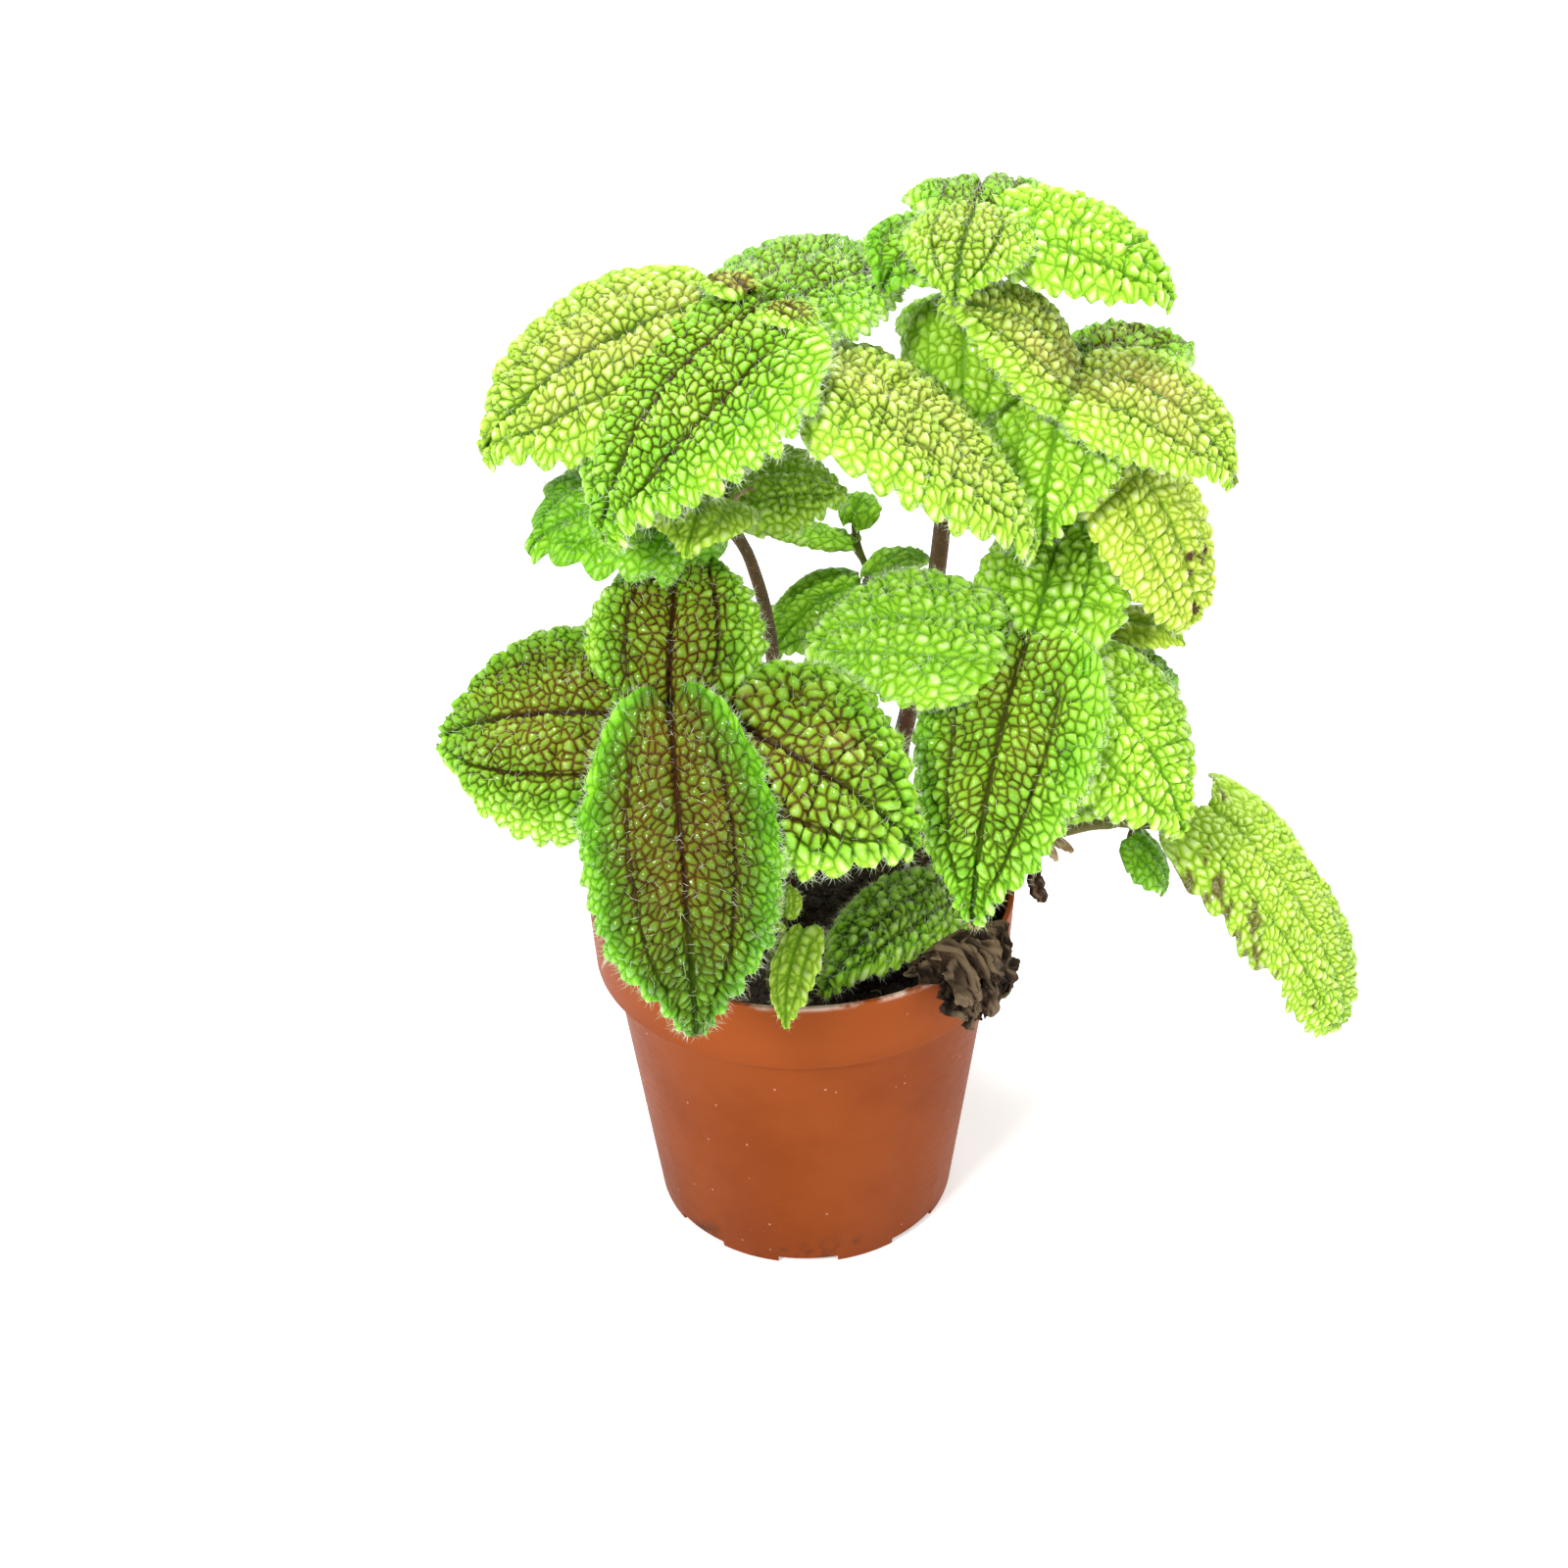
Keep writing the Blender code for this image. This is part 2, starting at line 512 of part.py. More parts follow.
def main():
    clear_scene()
    terracotta = principled("pot_plastic", (0.48, 0.13, 0.04), 0.42)
    earth = principled("soil_crumbs", (0.035, 0.025, 0.018), 0.95)
    bark = principled("stem_skin", (0.16, 0.07, 0.05), 0.6)
    withered = principled("dead_leaf_skin", (0.05, 0.03, 0.02), 0.9)
    green = principled("leaf_skin", (0.22, 0.45, 0.03), 0.45)
    make_pot(terracotta)
    make_soil(earth, STEMS, bark)
    make_dead_leaf(withered)
    for name, leaf in LEAVES.items():
        leaf_solid(name, leaf, green)
    for name, path in STEMS.items():
        stem = tube(name, path, 8, bark)
        stalks = [petiole(leaf_name + "_stalk", leaf, path, bark)
                  for leaf_name, leaf in LEAVES.items() if leaf[9] == name]
        if name == "stem_shoot":
            for leaf_name, leaf in SHOOT_LEAVES.items():
                stalks.append(petiole(leaf_name + "_stalk", leaf, path, bark, gap=-2.0 * MM))
                stalks.append(baked(leaf_solid(leaf_name, leaf, green)))
        elif name != "stem_side":
            stalks.append(bud(name + "_bud", path[-1][0], path[-1][1] * 1.5, bark))
        combine(stem, stalks, "UNION")


main()
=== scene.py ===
import bpy
import math
import numpy as np
from collections import namedtuple
from mathutils import Matrix, Vector


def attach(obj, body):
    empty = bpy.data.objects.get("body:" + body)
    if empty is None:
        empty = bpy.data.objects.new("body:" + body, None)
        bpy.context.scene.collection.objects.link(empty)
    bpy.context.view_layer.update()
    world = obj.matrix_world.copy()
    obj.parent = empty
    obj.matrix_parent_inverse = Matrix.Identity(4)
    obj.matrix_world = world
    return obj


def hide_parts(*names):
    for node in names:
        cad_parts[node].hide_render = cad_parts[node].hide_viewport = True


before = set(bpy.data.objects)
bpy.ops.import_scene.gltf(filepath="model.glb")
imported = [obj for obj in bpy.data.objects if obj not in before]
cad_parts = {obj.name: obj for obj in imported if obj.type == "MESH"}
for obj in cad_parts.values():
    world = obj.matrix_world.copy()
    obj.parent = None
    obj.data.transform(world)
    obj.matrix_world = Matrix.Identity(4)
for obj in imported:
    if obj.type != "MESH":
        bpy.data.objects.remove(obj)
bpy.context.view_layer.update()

from types import SimpleNamespace

mm = 0.001
print("frame loaded:", len(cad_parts), "nodes")


# general helpers

def unit(rows):
    return rows / np.maximum(np.linalg.norm(rows, axis=-1, keepdims=True), 1e-12)


def smooth(low, high, value):
    share = np.clip((value - low) / (high - low), 0.0, 1.0)
    return share * share * (3 - 2 * share)


def meshPiece(name, points, faces, materials, shadeSmooth=True):
    mesh = bpy.data.meshes.new(name)
    mesh.from_pydata([tuple(map(float, p)) for p in points], [], [tuple(map(int, f)) for f in faces])
    mesh.update()
    piece = bpy.data.objects.new(name, mesh)
    bpy.context.scene.collection.objects.link(piece)
    for material in materials:
        mesh.materials.append(material)
    if shadeSmooth:
        mesh.shade_smooth()
    return piece


def pointValues(mesh, name, values, kind="FLOAT"):
    layer = mesh.attributes.new(name, kind, "POINT")
    key = "vector" if kind == "FLOAT_VECTOR" else "value"
    layer.data.foreach_set(key, np.asarray(values, np.float32).ravel())


def settled(piece):
    # turns the live modifiers into plain mesh
    bpy.context.view_layer.update()
    graph = bpy.context.evaluated_depsgraph_get()
    mesh = bpy.data.meshes.new_from_object(piece.evaluated_get(graph))
    piece.modifiers.clear()
    piece.data = mesh
    return piece


def joinMeshes(name, pieces):
    # several finished pieces become one object, keeping their materials and attributes
    bpy.ops.object.select_all(action="DESELECT")
    for piece in pieces:
        piece.select_set(True)
    bpy.context.view_layer.objects.active = pieces[0]
    bpy.ops.object.join()
    pieces[0].name = name
    return pieces[0]


def addWall(piece, thickness, offset, underside=0):
    # gives a sheet its thickness; underside says how many materials on the back's finish is
    body = piece.modifiers.new("thickness", "SOLIDIFY")
    body.thickness = thickness
    body.offset = offset
    body.material_offset = underside
    body.material_offset_rim = 0
    body.use_even_offset = False


def gridFaces(rows, columns, flip=False):
    # quads between the points of a grid, row after row
    index = np.arange((rows - 1) * columns).reshape(rows - 1, columns)[:, :-1].ravel()
    corners = (0, columns, columns + 1, 1) if flip else (0, 1, columns + 1, columns)
    return np.stack([index + step for step in corners], -1).tolist()


def ringFaces(first, steps, sides, flip=False):
    # quads between rings of points that follow each other
    faces = []
    for k in range(steps):
        for i in range(sides):
            a = first + k * sides + i
            b = first + k * sides + (i + 1) % sides
            faces.append((a, a + sides, b + sides, b) if flip else (a, b, b + sides, a + sides))
    return faces


def wanderingNoise(x, y, rate, seed):
    # soft irregular waves between about -1 and 1
    draw = np.random.default_rng(seed)
    total = np.zeros(np.broadcast(x, y).shape)
    for k in range(7):
        heading = draw.uniform(0, 2 * np.pi)
        pace = rate * draw.uniform(0.6, 1.5)
        total = total + np.cos(pace * (x * math.cos(heading) + y * math.sin(heading)) + draw.uniform(0, 6.28))
    return total / 2.6


# node helpers

def socketOf(sockets, name):
    for entry in sockets:
        if entry.name == name and entry.enabled:
            return entry
    return sockets[name]


def addNode(tree, kind, settings=None, values=None, links=None):
    node = tree.nodes.new(kind)
    for key, value in (settings or {}).items():
        setattr(node, key, value)
    for key, value in (values or {}).items():
        entry = node.inputs[key] if isinstance(key, int) else socketOf(node.inputs, key)
        entry.default_value = value
    for key, source in (links or {}).items():
        entry = node.inputs[key] if isinstance(key, int) else socketOf(node.inputs, key)
        tree.links.new(source, entry)
    return node


def mathNode(tree, operation, first, second=None, third=None, clamp=False):
    node = tree.nodes.new("ShaderNodeMath")
    node.operation = operation
    node.use_clamp = clamp
    for index, item in enumerate((first, second, third)):
        if item is None:
            continue
        if isinstance(item, (int, float)):
            node.inputs[index].default_value = item
        else:
            tree.links.new(item, node.inputs[index])
    return node.outputs[0]


def times(tree, first, second):
    return mathNode(tree, "MULTIPLY", first, second)


def spread(tree, value, low, high, toLow=0.0, toHigh=1.0, curve="SMOOTHSTEP"):
    node = addNode(tree, "ShaderNodeMapRange", {"interpolation_type": curve},
                   {"From Min": low, "From Max": high, "To Min": toLow, "To Max": toHigh}, {"Value": value})
    return node.outputs["Result"]


def blendColour(tree, share, first, second, mode="MIX"):
    node = tree.nodes.new("ShaderNodeMix")
    node.data_type = "RGBA"
    node.blend_type = mode
    for entry, item in ((node.inputs[0], share), (node.inputs[6], first), (node.inputs[7], second)):
        if isinstance(item, (int, float)):
            entry.default_value = item
        elif isinstance(item, tuple):
            entry.default_value = (*item, 1.0)
        else:
            tree.links.new(item, entry)
    return node.outputs[2]


def newTree(name, kind, inputs, outputs):
    # a node group with named inputs, each with its socket and first value, and named outputs
    tree = bpy.data.node_groups.new(name, kind)
    for label, (socket, value) in inputs.items():
        entry = tree.interface.new_socket(label, in_out="INPUT", socket_type="NodeSocket" + socket)
        if value is not None:
            entry.default_value = value
    for label, socket in outputs.items():
        tree.interface.new_socket(label, in_out="OUTPUT", socket_type="NodeSocket" + socket)
    return tree, tree.nodes.new("NodeGroupInput"), tree.nodes.new("NodeGroupOutput")


def useTree(piece, tree, values):
    # adds the tree as a modifier and sets its named inputs by identifier
    step = piece.modifiers.new(tree.name, "NODES")
    step.node_group = tree
    for entry in tree.interface.items_tree:
        if entry.item_type == "SOCKET" and entry.in_out == "INPUT" and entry.name in values:
            step[entry.identifier] = values[entry.name]


def attributeOf(tree, name, output="Fac"):
    # a mesh attribute, read by a shader
    node = addNode(tree, "ShaderNodeAttribute", {"attribute_type": "GEOMETRY", "attribute_name": name})
    return node.outputs[output]


def namedValue(tree, name, kind="FLOAT"):
    # a mesh attribute, read by a geometry tree
    return addNode(tree, "GeometryNodeInputNamedAttribute", {"data_type": kind}, {"Name": name}).outputs[0]


def randomValue(tree, low, high, kind="FLOAT_VECTOR"):
    # low and high are values or sockets
    node = addNode(tree, "FunctionNodeRandomValue", {"data_type": kind})
    for name, item in (("Min", low), ("Max", high)):
        if isinstance(item, (float, tuple)):
            socketOf(node.inputs, name).default_value = item
        else:
            tree.links.new(item, socketOf(node.inputs, name))
    return socketOf(node.outputs, "Value")


def realAndPainted(tree, source, skin):
    # ends a geometry tree: instances become real mesh and get their finish
    real = addNode(tree, "GeometryNodeRealizeInstances", {}, {}, {"Geometry": source})
    paint = addNode(tree, "GeometryNodeSetMaterial", {}, {}, {"Geometry": real.outputs[0], "Material": skin})
    return paint.outputs[0]


def joined(tree, first, second):
    both = tree.nodes.new("GeometryNodeJoinGeometry")
    tree.links.new(first, both.inputs[0])
    tree.links.new(second, both.inputs[0])
    return both.outputs[0]


# shader groups that several finishes share

def makeMottleGroup():
    # soft cloudy variation and a fine grain for bump
    tree, start, end = newTree("cloudAndGrain", "ShaderNodeTree",
                               {"cloudScale": ("Float", 60.0), "grainScale": ("Float", 900.0)},
                               {"cloud": "Float", "grain": "Float"})
    place = tree.nodes.new("ShaderNodeTexCoord")
    for name, detail in (("cloud", 3.0), ("grain", 2.0)):
        noise = addNode(tree, "ShaderNodeTexNoise", {}, {"Detail": detail, "Roughness": 0.6},
                        {"Vector": place.outputs["Object"], "Scale": start.outputs[name + "Scale"]})
        tree.links.new(noise.outputs[0], end.inputs[name])
    return tree


def makeSpeckGroup():
    # scattered round specks, from 0 between them to 1 on them
    tree, start, end = newTree("scatteredSpecks", "ShaderNodeTree",
                               {"scale": ("Float", 300.0), "size": ("Float", 0.2), "share": ("Float", 0.2)},
                               {"specks": "Float"})
    place = tree.nodes.new("ShaderNodeTexCoord")
    cells = addNode(tree, "ShaderNodeTexVoronoi", {}, {},
                    {"Vector": place.outputs["Object"], "Scale": start.outputs["scale"]})
    near = mathNode(tree, "LESS_THAN", cells.outputs["Distance"], start.outputs["size"])
    split = addNode(tree, "ShaderNodeSeparateColor", {}, {}, {"Color": cells.outputs["Color"]})
    chosen = mathNode(tree, "LESS_THAN", split.outputs[0], start.outputs["share"])
    tree.links.new(times(tree, near, chosen), end.inputs["specks"])
    return tree


mottleGroup = makeMottleGroup()
speckGroup = makeSpeckGroup()


def newFinish(name):
    material = bpy.data.materials.new(name)
    material.use_nodes = True
    tree = material.node_tree
    return material, tree, tree.nodes["Principled BSDF"]


def groupNode(tree, group, values):
    return addNode(tree, "ShaderNodeGroup", {"node_tree": group}, values)


def bumpFrom(tree, height, strength, distance, under=None):
    links = {"Height": height}
    if under is not None:
        links["Normal"] = under
    node = addNode(tree, "ShaderNodeBump", {}, {"Strength": strength, "Distance": distance}, links)
    return node.outputs[0]


def speckLayer(scale, size, share, strength, colour):
    # a layer of scattered specks for plainFinish
    def mask(tree):
        specks = groupNode(tree, speckGroup, {"scale": scale, "size": size, "share": share})
        return times(tree, specks.outputs[0], strength)
    return mask, colour


def plainFinish(name, look, layers=()):
    # a cloudy skin of two tones with a fine grain; each layer lays its colour on where its mask says
    material, tree, shader = newFinish(name)
    mottle = groupNode(tree, mottleGroup, {key: look[key] for key in ("cloudScale", "grainScale")})
    cloud, grain = mottle.outputs["cloud"], mottle.outputs["grain"]
    skin = blendColour(tree, spread(tree, cloud, *look["turn"]), look["dark"], look["light"])
    for mask, colour in layers:
        skin = blendColour(tree, mask(tree), skin, colour)
    tree.links.new(skin, shader.inputs["Base Color"])
    tree.links.new(spread(tree, grain, 0.3, 0.7, *look["rough"]), shader.inputs["Roughness"])
    if "relief" in look:
        tree.links.new(bumpFrom(tree, grain, *look["relief"]), shader.inputs["Normal"])
    if "specular" in look:
        shader.inputs["Specular IOR Level"].default_value = look["specular"]
    return material


# leaves

bladeRule = {
    "start": -0.045,       # where along the midrib the blade begins
    "sweep": 0.135,        # how far the side veins run forward on their way out
    "lateral": 0.47,       # where the two arching veins lie, as a share of the half width
    "shift": 0.05,         # how far the outline is moved back, over the stalk's end
    "full": -0.17,         # added to the fullness at the base, so that a whorl's leaves meet
    "lobe": 0.080,         # how far the base's two lobes reach back past the stalk
    "dripTip": 0.45,       # how much the tip narrows
    "archLength": 1.08,    # length along the midrib, as a share of the straight line
    "cellWidth": 2.10 * mm,
    "widestCell": 0.16,    # as a share of the leaf's width
    "unevenness": 0.94,    # of the cells
    "creaseShare": 0.46,   # how far a dome's flank reaches from the crease
    "puff": 1.36 * mm,
    "lumps": 0.14,         # slow rise and fall of the domes, as a share of the puff
    "ribDepth": 0.60 * mm,
    "veinWidth": 0.31,     # as a share of a cell, with more on a brown net
    "brownVeins": 0.11,
    "widestVeined": 2.2 * mm,
    "lateralVeins": 0.75,  # strength beside the midrib's
    "panel": 0.020,        # swell between the main veins, as a share of the leaf's width
    "quilting": 0.016,     # swell between the side veins, as a share of the leaf's width
    "edgeDroop": 0.022,    # as a share of the leaf's width, and so are the next two
    "tipDroop": 0.03,
    "toothDepth": 0.042,
    "toothRise": 0.66,     # share of a tooth before its point
    "toothFall": 0.34,
    "toothReach": 0.22,    # how far a tooth leans forward, as a share of its own length
    "unevenTeeth": 0.35,
    "thickness": 0.45 * mm,
    "wave": 0.6 * mm,
    "usualWidth": 45,      # mm; waves, ribs and hairs grow with the leaf from here
    "fineDetail": 3.1,     # grid steps for each cell on the leaves that show, and on the rest
    "detail": 2.2,
}
hairRule = {
    "perSquareMetre": 500000.0,
    "length": 2.5 * mm,
    "radius": 0.050 * mm,
    "lean": 0.80,
    "underShare": 0.20,
    "onFace": 0.20,        # fuzz on the face and along the margin, for each unit of the look's fuzz
    "onMargin": 4.6,
    "mostOnMargin": 1.3,
}
leafLook = {
    "deepGreen": (0.060, 0.190, 0.009),
    "grassGreen": (0.200, 0.600, 0.018),
    "limeGreen": (0.500, 0.900, 0.070),
    "paleYellow": (0.740, 0.880, 0.130),
    # crease colours: the darker greens are partly the veins' own colour and partly painted shade in the
    # creases; the brown is the leaf's own net
    "creaseGreenAndShade": (0.075, 0.270, 0.008),
    "creaseLimeAndShade": (0.130, 0.380, 0.016),
    "creaseBrown": (0.036, 0.014, 0.003),
    # painted highlight: the pale tone laid on the tops of the domes
    "paintedDomeHighlight": (0.740, 0.930, 0.400),
    "bronze": (0.180, 0.076, 0.010),
    "paleBlush": (0.480, 0.310, 0.130),
    "blot": (0.100, 0.045, 0.022),
    "paintedFlankShadeGreen": (0.62, 0.70, 0.42),    # painted shade: what a dome's flank keeps of its colour, on a green leaf
    "paintedFlankShadeBrown": (0.33, 0.37, 0.14),    # and on one with a brown net, also painted shade
    "cloudTone": 0.5,                    # how far clouds and single cells change the lime
    "cellTone": 0.07,
    "rough": (0.24, 0.38),
    "specular": 0.10,
    "wetCoat": 0.90,                     # gloss on top of the domes
    "coatRough": 0.13,
    "underGreen": (0.22, 0.38, 0.10),
    "underLime": (0.42, 0.55, 0.16),
    "underRib": (0.30, 0.16, 0.09),
}
hairLook = {"cloudScale": 200.0, "grainScale": 900.0, "turn": (0.35, 0.65), "dark": (0.50, 0.62, 0.36),
            "light": (0.84, 0.88, 0.74), "rough": (0.3, 0.45)}


def domeHeight(tree, distance, creaseShare, rib):
    # 0 in the creases and on the main veins, rising to 1 on top of each dome
    share = mathNode(tree, "DIVIDE", distance, creaseShare, clamp=True)
    hollow = mathNode(tree, "SUBTRACT", 1.0, share)
    dome = mathNode(tree, "SUBTRACT", 1.0, times(tree, hollow, hollow))
    return times(tree, dome, mathNode(tree, "SUBTRACT", 1.0, rib, clamp=True))


def leafCells(tree, rib):
    # the same cells that the quilt raises, drawn sharp, each with a tone of its own
    place = attributeOf(tree, "veinMap", "Vector")
    values = {"Scale": 1.0, "Randomness": bladeRule["unevenness"]}
    edges = addNode(tree, "ShaderNodeTexVoronoi", {"voronoi_dimensions": "2D", "feature": "DISTANCE_TO_EDGE"},
                    values, {"Vector": place})
    tones = addNode(tree, "ShaderNodeTexVoronoi", {"voronoi_dimensions": "2D"}, values, {"Vector": place})
    tone = addNode(tree, "ShaderNodeSeparateColor", {}, {}, {"Color": tones.outputs["Color"]}).outputs[0]
    return domeHeight(tree, edges.outputs["Distance"], bladeRule["creaseShare"], rib), tone


def makeLeafFinish():
    # quilted upper face: light domes with a painted highlight on top and painted shade on their flanks, dark
    # net partly the leaf's own brown and partly painted shade, brown main veins, brown blush along the middle
    material, tree, shader = newFinish("leafUpperFace")
    look = leafLook
    names = ("lime", "net", "blush", "rib", "hem", "paleLift", "blot")
    lime, net, blush, rib, hem, paleLift, blot = (attributeOf(tree, name) for name in names)
    dome, tone = leafCells(tree, rib)
    mottle = groupNode(tree, mottleGroup, {"cloudScale": 130.0, "grainScale": 2600.0})
    cloud, grain = mottle.outputs["cloud"], mottle.outputs["grain"]
    clouded = mathNode(tree, "MULTIPLY_ADD", cloud, look["cloudTone"], -look["cloudTone"] / 2)
    ownTone = spread(tree, tone, 0.0, 1.0, -look["cellTone"], look["cellTone"], "LINEAR")
    limeHere = mathNode(tree, "ADD", lime, mathNode(tree, "ADD", clouded, ownTone), clamp=True)
    # the dome's top and its flank, the flank darkened as painted shade, both with their blush
    dark = blendColour(tree, spread(tree, limeHere, 0.0, 0.5, curve="LINEAR"),
                       look["deepGreen"], look["grassGreen"])
    skin = blendColour(tree, spread(tree, limeHere, 0.35, 1.0, curve="LINEAR"), dark, look["limeGreen"])
    # pale yellow, partly the leaf's own paleness and partly painted light that lifts leaves lying in shade
    skin = blendColour(tree, paleLift, skin, look["paleYellow"])
    shade = blendColour(tree, net, look["paintedFlankShadeGreen"], look["paintedFlankShadeBrown"])
    # painted shade: the flank is the skin multiplied by the shade tone
    side = blendColour(tree, 1.0, skin, shade, "MULTIPLY")
    bronze = blendColour(tree, spread(tree, limeHere, 0.50, 0.95), look["bronze"], look["paleBlush"])
    bronzeTop = blendColour(tree, 0.50, bronze, skin)
    bronzeShadedFlank = blendColour(tree, 0.15, bronze, side)
    skin = blendColour(tree, blush, skin, bronzeTop)
    side = blendColour(tree, blush, side, bronzeShadedFlank)
    skin = blendColour(tree, spread(tree, dome, 0.10, 0.92), side, skin)
    # painted highlight: the tops of the domes on lime leaves turn towards a pale tone
    shine = times(tree, spread(tree, dome, 0.76, 1.0), spread(tree, limeHere, 0.38, 0.90, 0.0, 0.70))
    skin = blendColour(tree, shine, skin, look["paintedDomeHighlight"])
    # the net of creases, wider and darker where the leaf is brown, and the main veins; the brown is the
    # leaf's own, while the darker green on green leaves is partly the veins' own colour and partly painted
    # shade
    valley = spread(tree, dome, 0.30, 0.02)
    tree.links.new(mathNode(tree, "MULTIPLY_ADD", net, 0.34, 0.26), valley.node.inputs["From Min"])
    crease = blendColour(tree, spread(tree, limeHere, 0.4, 1.0), look["creaseGreenAndShade"], look["creaseLimeAndShade"])
    crease = blendColour(tree, net, crease, look["creaseBrown"])
    depth = times(tree, spread(tree, net, 0.0, 0.7, 0.30, 0.86), spread(tree, hem, 0.0, 0.9))
    depth = times(tree, depth, spread(tree, cloud, 0.35, 0.60, 1.0, 0.62))
    skin = blendColour(tree, times(tree, valley, depth), skin, crease)
    vein = times(tree, spread(tree, rib, 0.20, 0.80), spread(tree, net, 0.0, 0.6, 0.40, 0.95))
    skin = blendColour(tree, vein, skin, crease)
    skin = blendColour(tree, blot, skin, look["blot"])
    tree.links.new(skin, shader.inputs["Base Color"])
    tree.links.new(spread(tree, grain, 0.3, 0.7, *look["rough"]), shader.inputs["Roughness"])
    grainBump = bumpFrom(tree, grain, 0.35, 0.0002)
    tree.links.new(bumpFrom(tree, dome, 0.50, 0.0007, grainBump), shader.inputs["Normal"])
    tree.links.new(spread(tree, dome, 0.72, 1.0, 0.0, look["wetCoat"]), shader.inputs["Coat Weight"])
    shader.inputs["Specular IOR Level"].default_value = look["specular"]
    shader.inputs["Coat Roughness"].default_value = look["coatRough"]
    return material


def makeUnderFinish():
    # pale green underside with brown ribs
    material, tree, shader = newFinish("leafUnderside")
    look = leafLook
    rib, dome, lime = (attributeOf(tree, name) for name in ("rib", "dome", "lime"))
    mottle = groupNode(tree, mottleGroup, {"cloudScale": 110.0, "grainScale": 1800.0})
    skin = blendColour(tree, lime, look["underGreen"], look["underLime"])
    skin = blendColour(tree, times(tree, spread(tree, dome, 0.5, 0.0), 0.5), skin, look["underRib"])
    skin = blendColour(tree, times(tree, rib, 0.7), skin, look["underRib"])
    skin = blendColour(tree, spread(tree, mottle.outputs["cloud"], 0.45, 0.8, 0.0, 0.35), skin,
                       look["deepGreen"])
    tree.links.new(skin, shader.inputs["Base Color"])
    tree.links.new(spread(tree, mottle.outputs["grain"], 0.3, 0.7, 0.5, 0.7), shader.inputs["Roughness"])
    tree.links.new(bumpFrom(tree, mottle.outputs["grain"], 0.3, 0.0002), shader.inputs["Normal"])
    return material


leafUpper = makeLeafFinish()
leafUnder = makeUnderFinish()
leafHair = plainFinish("leafHair", hairLook)
print("leaf finishes made")


# geometry node trees

def makeQuiltTree():
    # raises the cells between the veins along the surface and keeps how high each point is
    tree, start, end = newTree("quiltTheBlade", "GeometryNodeTree", {
        "Geometry": ("Geometry", None), "puffHeight": ("Float", 0.0012), "creaseShare": ("Float", 0.34),
        "ribDepth": ("Float", 0.0006), "unevenness": ("Float", 0.8), "skin": ("Material", None)},
        {"Geometry": "Geometry"})
    place = namedValue(tree, "veinMap", "FLOAT_VECTOR")
    rib = namedValue(tree, "rib")
    edges = addNode(tree, "ShaderNodeTexVoronoi", {"voronoi_dimensions": "2D", "feature": "DISTANCE_TO_EDGE"},
                    {"Scale": 1.0}, {"Vector": place, "Randomness": start.outputs["unevenness"]})
    dome = domeHeight(tree, edges.outputs["Distance"], start.outputs["creaseShare"], rib)
    jitter = addNode(tree, "ShaderNodeTexNoise", {"noise_dimensions": "2D"}, {"Scale": 0.55, "Detail": 1.0},
                     {"Vector": place})
    uneven = spread(tree, jitter.outputs[0], 0.3, 0.7, 0.7, 1.2, "LINEAR")
    slow = addNode(tree, "ShaderNodeTexNoise", {"noise_dimensions": "2D"}, {"Scale": 0.30, "Detail": 0.0},
                   {"Vector": place})
    swell = spread(tree, slow.outputs[0], 0.3, 0.7, -bladeRule["lumps"], bladeRule["lumps"], "LINEAR")
    puff = start.outputs["puffHeight"]
    height = mathNode(tree, "ADD", times(tree, times(tree, dome, uneven), puff), times(tree, swell, puff))
    height = times(tree, height, namedValue(tree, "hem"))
    height = mathNode(tree, "SUBTRACT", height, times(tree, rib, start.outputs["ribDepth"]))
    facing = tree.nodes.new("GeometryNodeInputNormal")
    lift = addNode(tree, "ShaderNodeVectorMath", {"operation": "SCALE"}, {},
                   {0: facing.outputs[0], "Scale": height})
    keep = addNode(tree, "GeometryNodeStoreNamedAttribute", {"data_type": "FLOAT", "domain": "POINT"},
                   {"Name": "dome"}, {"Geometry": start.outputs["Geometry"], "Value": dome})
    move = addNode(tree, "GeometryNodeSetPosition", {}, {},
                   {"Geometry": keep.outputs[0], "Offset": lift.outputs[0]})
    tree.links.new(realAndPainted(tree, move.outputs[0], start.outputs["skin"]), end.inputs["Geometry"])
    return tree


